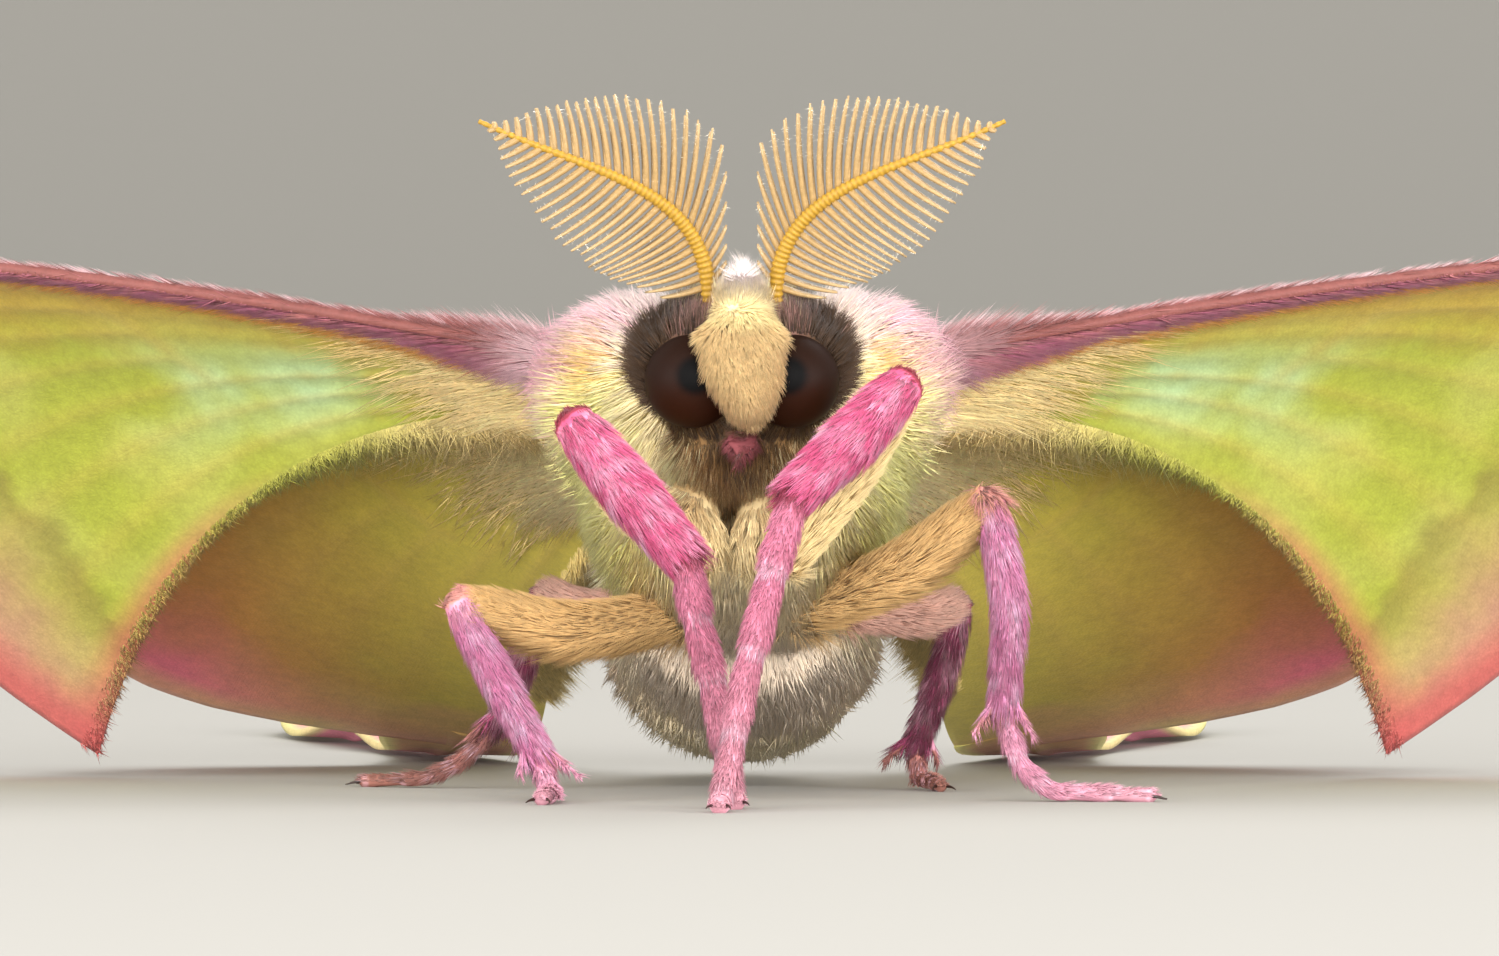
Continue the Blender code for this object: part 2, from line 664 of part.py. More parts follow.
for side, sign in SIDES:
    forewing = make_forewing(side, sign)
    hindwing = make_hindwing(side, sign)
    tail = make_tail(side, sign)
    for wing in (forewing, hindwing):
        part_from(wing, thorax)
    cut_by(hindwing, make_abdomen("abdomen_cutter", GAP / MM))
    neighbours += [forewing, hindwing]
    finish(forewing, (0.5, 0.6, 0.15))
    finish(hindwing, (0.65, 0.35, 0.3))
    finish(tail, (0.75, 0.3, 0.4))

for leg in LEGS:
    stretches = make_leg(leg)
    neighbours.append(stretches[0])
    for stretch in stretches:
        finish(stretch, LEG_COLOURS[stretch.name.split("_")[-1]])

coat_thorax(thorax, neighbours)
finish(thorax, (0.85, 0.75, 0.55))
stand_on_origin()
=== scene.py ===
# %% [markdown]
# # A Chinese moon moth, life size
#
# The real animal is a silk moth at rest: a woolly body between two broad, powdery wings,
# feathered feelers, big dark eyes and pink legs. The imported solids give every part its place
# and size. This script gives them their skin, scales, fur and light.

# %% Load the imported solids
import json
import math

import bmesh
import bpy
import numpy as np
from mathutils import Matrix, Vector, noise
from mathutils.kdtree import KDTree

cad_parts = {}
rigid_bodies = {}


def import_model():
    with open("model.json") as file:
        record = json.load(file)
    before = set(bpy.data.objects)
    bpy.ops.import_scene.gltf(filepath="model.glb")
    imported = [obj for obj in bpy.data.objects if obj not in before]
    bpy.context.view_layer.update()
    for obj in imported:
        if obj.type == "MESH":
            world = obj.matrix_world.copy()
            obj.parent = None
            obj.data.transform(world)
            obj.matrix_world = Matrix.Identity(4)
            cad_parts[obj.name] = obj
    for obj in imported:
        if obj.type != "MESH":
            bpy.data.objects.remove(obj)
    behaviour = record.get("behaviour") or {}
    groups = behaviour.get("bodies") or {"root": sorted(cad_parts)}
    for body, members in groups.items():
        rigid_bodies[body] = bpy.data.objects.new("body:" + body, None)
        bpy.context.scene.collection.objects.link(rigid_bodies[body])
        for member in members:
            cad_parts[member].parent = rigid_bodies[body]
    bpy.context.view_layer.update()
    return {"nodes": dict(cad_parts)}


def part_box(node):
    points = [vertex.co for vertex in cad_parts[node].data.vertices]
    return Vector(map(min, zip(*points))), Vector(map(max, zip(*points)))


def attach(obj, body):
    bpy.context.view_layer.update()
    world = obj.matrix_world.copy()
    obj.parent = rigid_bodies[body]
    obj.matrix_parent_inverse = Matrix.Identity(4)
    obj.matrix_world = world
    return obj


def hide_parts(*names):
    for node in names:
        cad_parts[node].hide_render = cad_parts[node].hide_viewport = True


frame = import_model()
print("solids:", len(frame["nodes"]), "nodes")

# %% [markdown]
# ## One ruler for everything
#
# The moth is measured in millimetres in a frame of its own, where z is 0 on the floor and the
# middle of its thorax is at x 0, y 0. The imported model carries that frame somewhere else, so the
# left eye, whose place is known in both, says how far everything has to move.

# %% The moth's own frame
MM = 0.001
EYE = np.array((1.62, -7.9, 13.5))
EYE_RADIUS = 1.5
SHIFT = np.array(sum(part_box("eye_left"), Vector())) / 2 - EYE * MM
SIDES = (("left", 1.0), ("right", -1.0))


def placed(points):
    """Millimetres in the moth's own frame as metres in the model's."""
    return np.asarray(points, float) * MM + SHIFT


print("the moth's frame is moved by", np.round(SHIFT / MM, 2), "mm")

# %% [markdown]
# ## The camera comes early
#
# The photograph was taken at close range with a long lens, level with the moth's breast. A lens
# of 225 mm at 300 mm from the eyes gives the same picture width, 48 mm at the eyes, and the
# same gentle perspective, so every later step can be judged through it.

# %% Camera
CAMERA_PLACE = (0.24, -308.0, 10.4)
LENS = 225.0

camera_data = bpy.data.cameras.new("camera")
camera_data.lens = LENS
camera_data.sensor_width = 36.0
camera_data.clip_start = 0.01
camera_data.clip_end = 10.0
camera = bpy.data.objects.new("camera", camera_data)
camera.location = placed(CAMERA_PLACE)
camera.rotation_euler = (math.pi / 2, 0.0, 0.0)
bpy.context.scene.collection.objects.link(camera)
bpy.context.scene.camera = camera
print("camera at", [round(v, 4) for v in camera.location])

# %% [markdown]
# ## Soft studio light
#
# Fur and scales scatter light, and large light sources keep their shadows soft. A broad light
# hangs over the moth, a low one stands on each side and in front, one behind draws the rims, and
# a pale room fills the rest. The floor turns up into a backdrop far behind the moth.

# %% Floor, room and lights
def new_object(name, mesh, finish=None):
    """Put a mesh into the scene, with its finish."""
    obj = bpy.data.objects.new(name, mesh)
    bpy.context.scene.collection.objects.link(obj)
    if finish:
        mesh.materials.append(finish)
    return obj


def linear(hex_colour):
    """An sRGB hex colour as linear red, green and blue."""
    srgb = np.array([int(hex_colour[i:i + 2], 16) for i in (1, 3, 5)]) / 255.0
    return np.where(srgb <= 0.04045, srgb / 12.92, ((srgb + 0.055) / 1.055) ** 2.4)


def rgba(hex_colour):
    return (*linear(hex_colour), 1.0)


def add(tree, kind, inputs=None, **settings):
    """Add a node with its settings. An input given as a socket is linked, others are set."""
    node = tree.nodes.new(kind)
    for name, value in settings.items():
        setattr(node, name, value)
    for key, value in (inputs or {}).items():
        if isinstance(value, bpy.types.NodeSocket):
            tree.links.new(value, node.inputs[key])
        else:
            node.inputs[key].default_value = value
    return node


def principled(name, **sockets):
    """A material whose Principled shader has these sockets set, its tree and that shader."""
    made = bpy.data.materials.new(name)
    made.use_nodes = True
    shader = made.node_tree.nodes["Principled BSDF"]
    for key, value in sockets.items():
        shader.inputs[key.replace("_", " ")].default_value = value
    return made, made.node_tree, shader


painted_floor, _, _ = principled("matt_painted_studio_floor", Base_Color=rgba("#A3A09A"),
                                 Roughness=0.9)
FLOOR_HALF = 2.0
FLOOR_BEND = 1.3  # how far behind the moth the floor turns up into the backdrop
BEND_RADIUS = 0.5
profile = [(-FLOOR_HALF, 0.0), (FLOOR_BEND, 0.0)]
profile += [(FLOOR_BEND + BEND_RADIUS * math.sin(a), BEND_RADIUS * (1.0 - math.cos(a)))
            for a in np.linspace(0.0, math.pi / 2, 13)[1:]]
profile.append((FLOOR_BEND + BEND_RADIUS, FLOOR_HALF))
sweep = bpy.data.meshes.new("floor")
sweep.from_pydata([(side * FLOOR_HALF, y, z) for y, z in profile for side in (-1.0, 1.0)], [],
                  [(2 * i, 2 * i + 1, 2 * i + 3, 2 * i + 2) for i in range(len(profile) - 1)])
sweep.shade_smooth()
floor = new_object("floor", sweep, painted_floor)

world = bpy.data.worlds.new("pale_room")
bpy.context.scene.world = world
world.use_nodes = True
world.node_tree.nodes["Background"].inputs["Color"].default_value = rgba("#F4F3F0")
world.node_tree.nodes["Background"].inputs["Strength"].default_value = 1.25
bpy.context.scene.view_settings.view_transform = "Standard"

LIGHTS = {  # place, size and watts
    "broad_light": ((-0.15, -0.5, 0.5), 0.6, 1.9),
    "left_light": ((-0.4, -0.35, 0.07), 0.25, 2.4),
    "right_light": ((0.4, -0.35, 0.07), 0.25, 2.8),
    "low_light": ((0.06, -0.6, 0.06), 0.35, 3.8),
    "rim_light": ((0.15, 0.4, 0.4), 0.3, 1.5)}
aim = Vector(placed((0.0, -4.0, 10.0)))
for name, (place, size, watts) in LIGHTS.items():
    lamp = bpy.data.lights.new(name, "AREA")
    lamp.size, lamp.energy = size, watts
    light = bpy.data.objects.new(name, lamp)
    light.location = place
    light.rotation_euler = (aim - Vector(place)).to_track_quat("-Z", "Y").to_euler()
    bpy.context.scene.collection.objects.link(light)
print("floor and", len(LIGHTS), "soft lights")

# %% [markdown]
# ## Meshes from arrays
#
# A coat is tens of thousands of small tufts. Blender can take a whole mesh at once from number
# arrays, which is hundreds of times faster than adding faces one by one.

# %% Mesh helpers
def mesh_from_arrays(name, verts, triangles, finish, colours=None, uvs=None, uv_name="OFBake"):
    """One object from vertices in the moth's frame, triangles, a colour for each vertex and a
    place on the unwrap for each vertex."""
    mesh = bpy.data.meshes.new(name)
    mesh.vertices.add(len(verts))
    mesh.vertices.foreach_set("co", placed(verts).astype(np.float32).ravel())
    corners = np.asarray(triangles, np.int32).ravel()
    mesh.loops.add(len(corners))
    mesh.loops.foreach_set("vertex_index", corners)
    mesh.polygons.add(len(corners) // 3)
    mesh.polygons.foreach_set("loop_start", np.arange(0, len(corners), 3, dtype=np.int32))
    mesh.polygons.foreach_set("use_smooth", np.ones(len(corners) // 3, bool))
    mesh.update(calc_edges=True)
    if colours is not None:
        layer = mesh.color_attributes.new("marking", "FLOAT_COLOR", "POINT")
        layer.data.foreach_set("color", np.column_stack(
            (colours, np.ones(len(colours)))).astype(np.float32).ravel())
    if uvs is not None:
        layer = mesh.uv_layers.new(name=uv_name)
        layer.data.foreach_set("uv", np.asarray(uvs, np.float32)[corners].ravel())
    return new_object(name, mesh, finish)


def quads_to_triangles(quads):
    quads = np.asarray(quads)
    return np.concatenate((quads[:, (0, 1, 2)], quads[:, (0, 2, 3)]))


def unit(vectors):
    """The vectors at length one."""
    return vectors / np.maximum(np.linalg.norm(vectors, axis=-1, keepdims=True), 1e-9)


def bezier(points, t):
    """Places along a cubic bezier, for an array of t from 0 to 1."""
    a, b, c, d = (np.asarray(point, float) for point in points)
    t = np.asarray(t, float)[..., None]
    s = 1.0 - t
    return a * s ** 3 + b * (3 * s * s * t) + c * (3 * s * t * t) + d * t ** 3


def mirrored(places, sign):
    """The places of a left piece, or of its right twin."""
    return np.asarray(places, float) * np.array((sign, 1.0, 1.0))


def near(value, edge, width):
    """1 where the value is under the edge, 0 where it is over, soft across the width."""
    return np.clip((edge - value) / width + 0.5, 0.0, 1.0)


def mottle(points, size, seed=0.0):
    """Smooth noise from about -1 to 1, with blobs of that size in millimetres."""
    return np.array([noise.noise(Vector(point / size) + Vector((seed, 0.0, 0.0)))
                     for point in np.asarray(points)]) * 1.6


def blended(base, other, share):
    """The base rows, moved towards the other ones by a share for each row."""
    share = np.asarray(share)[:, None]
    return base * (1.0 - share) + other * share


def layered(base, *layers):
    """Colours with others laid over them, one after another: pairs of a colour and its share."""
    for colour, share in layers:
        base = blended(base, linear(colour), share)
    return base


def settle(piece, slot, *nodes):
    """Let a piece ride on the body and stand for these nodes, which are hidden. The slot is not
    used.
    """
    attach(piece, "root")
    if nodes:
        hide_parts(*nodes)


# %% [markdown]
# ## The skin under the coat
#
# A moth's body is a soft case with no seams, hidden by its fur. It is made as real sculptors
# rough out a figure: balls and tapered rods for the thorax, head, hips, mouth parts and abdomen
# are melted into one skin by a voxel remesh. It stays inside the solids by the depth of the coat.

# %% Sizes of the body
THORAX = ((0.0, 0.0, 10.2), (4.7, 5.4, 4.6))
SHOULDER = ((3.15, 0.8, 12.9), (2.55, 3.4, 2.95))
BACK_DOME = ((0.0, 1.3, 12.4), (3.9, 3.9, 3.05))
BODY_PITCH = math.radians(34.0)
HEAD = ((0.0, -6.6, 14.1), (3.15, 1.95, 2.45))
SHIELD = (((-0.02, -9.2, 14.8), (1.38, 0.72, 0.85)), ((0.0, -9.22, 14.15), (1.25, 0.72, 0.95)),
          ((0.1, -9.24, 13.65), (1.05, 0.7, 0.95)), ((0.2, -9.26, 13.15), (0.72, 0.66, 0.95)))
SHIELD_NECK = ((0.0, -9.2, 15.0), (0.0, -8.6, 15.8), (0.0, -7.6, 16.2))
NECK_RADII = (0.95, 0.9, 0.75)
CHIN = ((0.0, -5.55, 11.3), (2.2, 2.1, 1.75))
ABDOMEN_LINE = ((0.0, 2.2, 7.6), (0.0, 7.0, 5.0), (0.0, 14.0, 5.4), (0.0, 23.0, 3.0))
ABDOMEN_RADIUS = 5.3
ABDOMEN_SEGMENTS = 7
ABDOMEN_COAT = 0.9
HIP = ((1.25, -4.4, 9.9), (1.15, -6.5, 9.4), (1.0, -7.5, 8.3))
HIP_RADII = (0.95, 0.95, 0.75)
HIP_SHIFT = -0.45  # the two hips meet a little to one side of the middle
PALP = ((0.36, -7.3, 11.85), (0.31, -8.8, 11.5), (0.11, -9.6, 10.95))
PALP_RADII = (0.28, 0.27, 0.08)
SKIN_VOXEL = 0.22


# %% Shapes that melt into the skin
def ball(bm, centre, radii, pitch=0.0):
    """An ellipsoid, its nose raised by the pitch."""
    made = bmesh.ops.create_uvsphere(bm, u_segments=40, v_segments=24, radius=1.0)["verts"]
    c, s = math.cos(pitch), math.sin(pitch)
    for vertex in made:
        x, y, z = (v * r for v, r in zip(vertex.co, radii))
        vertex.co = Vector(centre) + Vector((x, c * y + s * z, c * z - s * y))


def rod(bm, line, radii, sides=16, steps=5):
    """A round rod through the places, with round ends, smooth between them."""
    line, radii = smooth_run(line, radii, steps)
    ahead = unit(np.gradient(line, axis=0))
    across = unit(np.cross(ahead, (0.31, 0.2, 0.93)))
    up = np.cross(ahead, across)
    cap = (0.35, 0.75, 1.0)
    rings = [(line[0] - ahead[0] * radii[0] * (1.0 - s) * 0.8, 0, s) for s in cap]
    rings += [(line[i], i, 1.0) for i in range(1, len(line) - 1)]
    rings += [(line[-1] + ahead[-1] * radii[-1] * (1.0 - s) * 0.8, -1, s) for s in cap[::-1]]
    loops = []
    for centre, i, share in rings:
        loops.append([bm.verts.new(centre + radii[i] * share * (
            math.cos(a) * across[i] + math.sin(a) * up[i]))
            for a in np.linspace(0.0, 2.0 * math.pi, sides, endpoint=False)])
    for one, two in zip(loops, loops[1:]):
        for k in range(sides):
            bm.faces.new((one[k], one[(k + 1) % sides], two[(k + 1) % sides], two[k]))
    bm.faces.new(loops[0][::-1])
    bm.faces.new(loops[-1])


def smooth_run(line, radii, steps):
    """A run through the places with the corners rounded, and a radius at each of its points."""
    line, radii = np.asarray(line, float), np.asarray(radii, float)
    knots = np.linspace(0.0, len(line) - 1, steps * (len(line) - 1) + 1)
    run = np.column_stack([np.interp(knots, range(len(line)), line[:, k]) for k in range(3)])
    for _ in range(max(1, steps // 2)):
        run[1:-1] = (run[:-2] + 2.0 * run[1:-1] + run[2:]) / 4.0
    return run, np.interp(knots, range(len(radii)), radii)


def abdomen_radius(t):
    """The bare abdomen's radius along its line, swelling over each segment."""
    waist = 1.0 - 0.38 * np.maximum(0.0, 1.0 - t / 0.35) ** 2
    swell = 0.16 * ((t * ABDOMEN_SEGMENTS) % 1.0)
    return (ABDOMEN_RADIUS - ABDOMEN_COAT) * waist * (1.0 - t ** 3.2) ** 0.62 + swell + 0.05


def melted(name, bm, voxel, rounds):
    """One smooth closed skin from overlapping shapes in millimetres."""
    bmesh.ops.recalc_face_normals(bm, faces=bm.faces)
    for vertex in bm.verts:
        vertex.co = Vector(placed(vertex.co))
    mesh = bpy.data.meshes.new(name)
    bm.to_mesh(mesh)
    bm.free()
    skin = new_object(name, mesh)
    melt = skin.modifiers.new("Melt", "REMESH")
    melt.mode = "VOXEL"
    melt.voxel_size = voxel * MM
    ease = skin.modifiers.new("Ease", "SMOOTH")
    ease.factor = 0.6
    ease.iterations = rounds
    bpy.context.view_layer.update()
    skin.data = bpy.data.meshes.new_from_object(
        skin.evaluated_get(bpy.context.evaluated_depsgraph_get()))
    skin.modifiers.clear()
    skin.data.shade_smooth()
    return skin


bm = bmesh.new()
ball(bm, *THORAX, BODY_PITCH)
ball(bm, *BACK_DOME)
ball(bm, *HEAD)
for form in SHIELD:
    ball(bm, *form)
ball(bm, *CHIN)
rod(bm, SHIELD_NECK, NECK_RADII)
along = np.linspace(0.0, 0.99, 60)
rod(bm, bezier(ABDOMEN_LINE, along), abdomen_radius(along), 28, 1)
for _, sign in SIDES:
    ball(bm, mirrored([SHOULDER[0]], sign)[0], SHOULDER[1], BODY_PITCH)
    rod(bm, mirrored(HIP, sign) + (HIP_SHIFT, 0.0, 0.0), HIP_RADII)
    rod(bm, mirrored(PALP, sign), PALP_RADII, 10)
body_skin = melted("body_skin", bm, SKIN_VOXEL, 6)
print("skin:", len(body_skin.data.polygons), "faces")

# %% [markdown]
# ## The unwrap that the coat's colours are kept on
#
# The skin is cut into flat charts once. Every tuft later takes a small patch of that unwrap, at
# the place where it is rooted, so skin and coat always agree.

# %% Unwrap a skin
def unwrap(skin):
    """Lay the skin out flat as a map called OFBake."""
    skin.data.uv_layers.new(name="OFBake")
    bpy.ops.object.select_all(action="DESELECT")
    bpy.context.view_layer.objects.active = skin
    skin.select_set(True)
    bpy.ops.object.mode_set(mode="EDIT")
    bpy.ops.mesh.select_all(action="SELECT")
    bpy.ops.uv.smart_project(angle_limit=math.radians(66.0), island_margin=0.004)
    bpy.ops.object.mode_set(mode="OBJECT")
    skin.select_set(False)


unwrap(body_skin)

# %% [markdown]
# ## The moth's markings
#
# Colour follows the body: cream fur with pale lemon sides, white shoulders, pink at the wing
# roots, a gold patch beside each eye, a dark brown ring round it and a brown bib below. Each is
# a layer of one named colour over those before it. near() gives a layer's share of the colour:
# the place of its edge comes first and the softness of that edge second, both in millimetres.
# Skin and coat ask the same function, so they always agree.

# %% Markings of the body
CREAM, LEMON, WHITE = "#F0DCAE", "#F4EC92", "#E4D2CE"
BLUSH, GOLD = "#F2AFC2", "#E3A838"
RING, RING_RED, BIB, BIB_EDGE = "#422D1A", "#B08078", "#402C18", "#9C784B"
HIP_CREAM, CROWN_WHITE, BROW_CREAM = "#ECD29C", "#EDDDDB", "#E6CD94"
SHIELD_CREAM, PALP_PINK = "#E0BF89", "#7E4044"
BELLY, BELLY_BLUSH = "#F3E3C0", "#EDCDBE"
GOLD_PLACE = (4.05, 14.3)  # x and z of the gold patch, which is seen from in front
GOLD_SIZE = (0.66, 0.8)
RING_SIZE = 2.6


def body_marking(p):
    """The coat's colour at places on the body, in linear red, green and blue."""
    x, y, z = np.abs(p[:, 0]), p[:, 1], p[:, 2]
    patch, fine = mottle(p, 1.4), mottle(p, 0.5, 7.0)
    gold = ((x - GOLD_PLACE[0]) / GOLD_SIZE[0]) ** 2 + (
        (z - GOLD_PLACE[1] - 0.2 * patch) / GOLD_SIZE[1]) ** 2
    shoulder = near(-z - 0.3 * patch, -14.7, 1.2) * near(-x - 0.4 * patch, -3.0, 1.8)
    belly = near(-y - 0.3 * patch, -3.6, 2.0) * near(z, 9.6, 1.8)
    colour = layered(
        np.tile(linear(CREAM), (len(p), 1)),
        (LEMON, near(-x, -2.7, 1.6) * near(z, 13.6, 1.6) * near(-z, -6.2, 2.5)),
        (WHITE, 0.55 * near(z, 7.2, 2.5) * near(y, 3.5, 2.0)),
        (WHITE, 0.9 * near(-z - 0.25 * patch, -14.4, 1.4) * near(y, 6.0, 4.0)
         * near(-y, 4.5, 2.0)),
        (GOLD, 0.95 * near(gold, 1.0, 0.9) * near(y, -2.0, 1.5)),
        (BLUSH, 0.9 * (near(-x - 0.35 * patch, -4.35, 0.9) * near(-z, -12.2, 1.4))),
        (BLUSH, 0.7 * shoulder * near(-fine, 0.25, 1.2) * near(y, 3.4, 3.4)),
        (BELLY, belly),
        (BELLY_BLUSH, 0.5 * belly * near(-x, -2.9, 1.4) * near(z, 6.4, 2.0)))
    return face_marking(colour, p, x, y, z, patch, fine) * (1.0 + 0.06 * fine[:, None])


def face_marking(colour, p, x, y, z, patch, fine):
    """The body's colours with the face, the palps and the hips laid over them."""
    on_head = near(y, -4.9, 0.8)
    aside = np.abs(p[:, 0] - HIP_SHIFT * near(z, 11.0, 1.0))
    bib = near(z + 0.2 * patch, 12.5, 0.5) * near(aside + 0.1 - 1.5 * (z - 10.2), 0.0, 0.7)
    bib *= near(-z, -10.1, 0.4) * on_head
    from_eye = np.hypot((x - EYE[0] - 0.45) * 0.96, z - EYE[2] + 0.1)
    ring = near(from_eye + 0.4 * fine + 0.3 * patch, RING_SIZE, 0.6) * on_head
    ring = ring * near(-z, -12.2, 0.8)
    crown = near(-z, -15.4, 0.3) * near(x + 0.2 * fine, 1.05, 0.5) * near(y, -5.0, 0.8)
    palps = near(y, -8.0, 0.3) * near(z, 11.85, 0.1) * near(x, 0.75, 0.15)
    hips = near(x, 2.4, 0.5) * near(z, 10.4, 0.5) * near(-z, -7.4, 1.0) * near(y, -5.6, 0.8)
    # Painted shade: a dark line down the crease where the two hips meet.
    parting_shade = near(np.abs(p[:, 0] - HIP_SHIFT), 0.14, 0.12) * near(z, 10.5, 0.4)
    return layered(
        colour,
        (BIB_EDGE, bib),
        (BIB, 0.85 * bib * near(aside + 0.9 - 1.6 * (z - 10.4), 0.0, 0.9)),
        (RING, ring),
        (RING_RED, 0.85 * ring * near(-z, -15.1, 0.6) * near(x + 0.4 * patch, 2.1, 0.9)
         * near(-fine, 0.3, 0.8)),
        (SHIELD_CREAM, near(y, -8.5, 0.4) * near(x, 1.9, 0.2) * near(-z, -11.75, 0.1)),
        (BROW_CREAM, crown),
        (CROWN_WHITE, crown * near(-z, -16.1, 0.5)),
        (PALP_PINK, palps),
        # Painted shade in the slit between the two palps.
        (RING, 0.9 * palps * near(x, 0.05, 0.07) * near(z, 11.5, 0.2)),
        (HIP_CREAM, 0.85 * hips),
        (BIB_EDGE, 0.8 * hips * near(-z, -9.7, 0.8)),
        # Painted shade in the crease between the hips.
        (BIB, 0.6 * (parting_shade * near(-z, -7.8, 0.6)) * near(y, -4.5, 0.8)))


def paint(skin, marking):
    """Give a skin's vertices the markings of the coat over it."""
    points = np.empty(len(skin.data.vertices) * 3, np.float32)
    skin.data.vertices.foreach_get("co", points)
    points = (points.reshape(-1, 3) - SHIFT) / MM
    layer = skin.data.color_attributes.new("marking", "FLOAT_COLOR", "POINT")
    colours = np.column_stack((marking(points), np.ones(len(points))))
    layer.data.foreach_set("color", colours.astype(np.float32).ravel())


paint(body_skin, body_marking)

# %% [markdown]
# ## Finishes of fur
#
# Moth fur is made of long hollow scales. Each one is matt, a little silky along its length, and
# lets some light through. A Principled shader with high roughness and a little sheen gives
# that. The colour comes from the markings, varied by noise so fine that neighbours differ.

# %% Coat and skin finishes
def coat_finish(name, grain, roughness=0.62, sheen=0.25):
    """Fur: the markings, varied from tuft to tuft. Grain is the size of that variation in mm."""
    made, tree, shader = principled(name, Roughness=roughness, Sheen_Weight=sheen,
                                    Sheen_Roughness=0.4, Specular_IOR_Level=0.3)
    marking = add(tree, "ShaderNodeAttribute", attribute_name="marking")
    place = add(tree, "ShaderNodeTexCoord")
    speckle = add(tree, "ShaderNodeTexNoise", {"Vector": place.outputs["Object"],
                                               "Scale": 1.0 / (grain * MM), "Detail": 2.0})
    light = add(tree, "ShaderNodeMapRange", {"Value": speckle.outputs["Fac"], "From Min": 0.3,
                                             "From Max": 0.7, "To Min": 0.86, "To Max": 1.1})
    mixed = add(tree, "ShaderNodeVectorMath", {0: marking.outputs["Color"]}, operation="SCALE")
    tree.links.new(light.outputs["Result"], mixed.inputs["Scale"])
    tree.links.new(mixed.outputs["Vector"], shader.inputs["Base Color"])
    return made


body_fur = coat_finish("long_moth_fur", 0.25, sheen=0.08)
bare_skin = coat_finish("soft_body_skin", 0.6, roughness=0.8, sheen=0.0)
body_skin.data.materials.append(bare_skin)

# %% [markdown]
# ## How a coat grows
#
# A root is drawn anywhere on the skin with the same chance for every bit of area. From it a
# tuft leaves at its own lift, leans over along the lie of the coat and narrows to a point.
# Neighbours are pulled together towards their tips, which is what makes fur look soft instead
# of like a brush. A long tuft is a closed blade of ten triangles with a bend half way, and a
# short one is a straight blade of four.

# %% Roots on a skin
def skin_arrays(skin):
    """Corners of the skin's triangles: places in mm, normals and places on the unwrap."""
    mesh = skin.data
    mesh.calc_loop_triangles()
    count = len(mesh.loop_triangles)
    corners = np.empty(count * 3, np.int32)
    loops = np.empty(count * 3, np.int32)
    mesh.loop_triangles.foreach_get("vertices", corners)
    mesh.loop_triangles.foreach_get("loops", loops)
    points = np.empty(len(mesh.vertices) * 3, np.float32)
    normals = np.empty(len(mesh.vertices) * 3, np.float32)
    mesh.vertices.foreach_get("co", points)
    mesh.vertices.foreach_get("normal", normals)
    flat = np.empty(len(mesh.loops) * 2, np.float32)
    mesh.uv_layers["OFBake"].data.foreach_get("uv", flat)
    points = (points.reshape(-1, 3).astype(float) - SHIFT) / MM
    return (points[corners].reshape(-1, 3, 3), normals.reshape(-1, 3)[corners].reshape(-1, 3, 3),
            flat.reshape(-1, 2)[loops].reshape(-1, 3, 2))


def draw_roots(arrays, count, rng, weight=None):
    """Random roots on a skin, spread evenly or by a weight for each of its places."""
    points, normals, flat = arrays
    area = np.linalg.norm(np.cross(points[:, 1] - points[:, 0], points[:, 2] - points[:, 0]),
                          axis=1)
    if weight is not None:
        area = area * weight(points.mean(axis=1), unit(normals.mean(axis=1)))
    face = rng.choice(len(points), count, p=area / area.sum())
    a, b = rng.random((2, count))
    flip = a + b > 1.0
    a, b = np.where(flip, 1.0 - a, a), np.where(flip, 1.0 - b, b)
    mix = np.stack((1.0 - a - b, a, b), axis=1)[:, :, None]
    return ((points[face] * mix).sum(1), unit((normals[face] * mix).sum(1)),
            (flat[face] * mix).sum(1))


# %% Tufts from roots
PATCH = 0.003  # side of a tuft's patch on the unwrap
TAPER = (0.9, 1.0)  # width at the root and half way up
LOWEST = (0.05, 0.01)  # how low a tuft's middle line and its edges may lie over the floor


def blade(stretches):
    """Faces and patch corners of a three-sided blade, straight or bent in the middle."""
    faces = [(0, 2, 1)]
    for ring in range(stretches - 1):
        for k in range(3):
            a, b = 3 * ring + k, 3 * ring + (k + 1) % 3
            faces += [(a, b, b + 3), (a, b + 3, a + 3)]
    top = 3 * (stretches - 1)
    faces += [(top + k, top + (k + 1) % 3, top + 3) for k in range(3)]
    corners = [(0.5 * (k % 3), 0.5 * ring + 0.1 * (k == 1))
               for ring in range(stretches) for k in (0, 2, 1)] + [(0.5, 1.0)]
    return np.array(faces), PATCH * (np.array(corners) - 0.5)


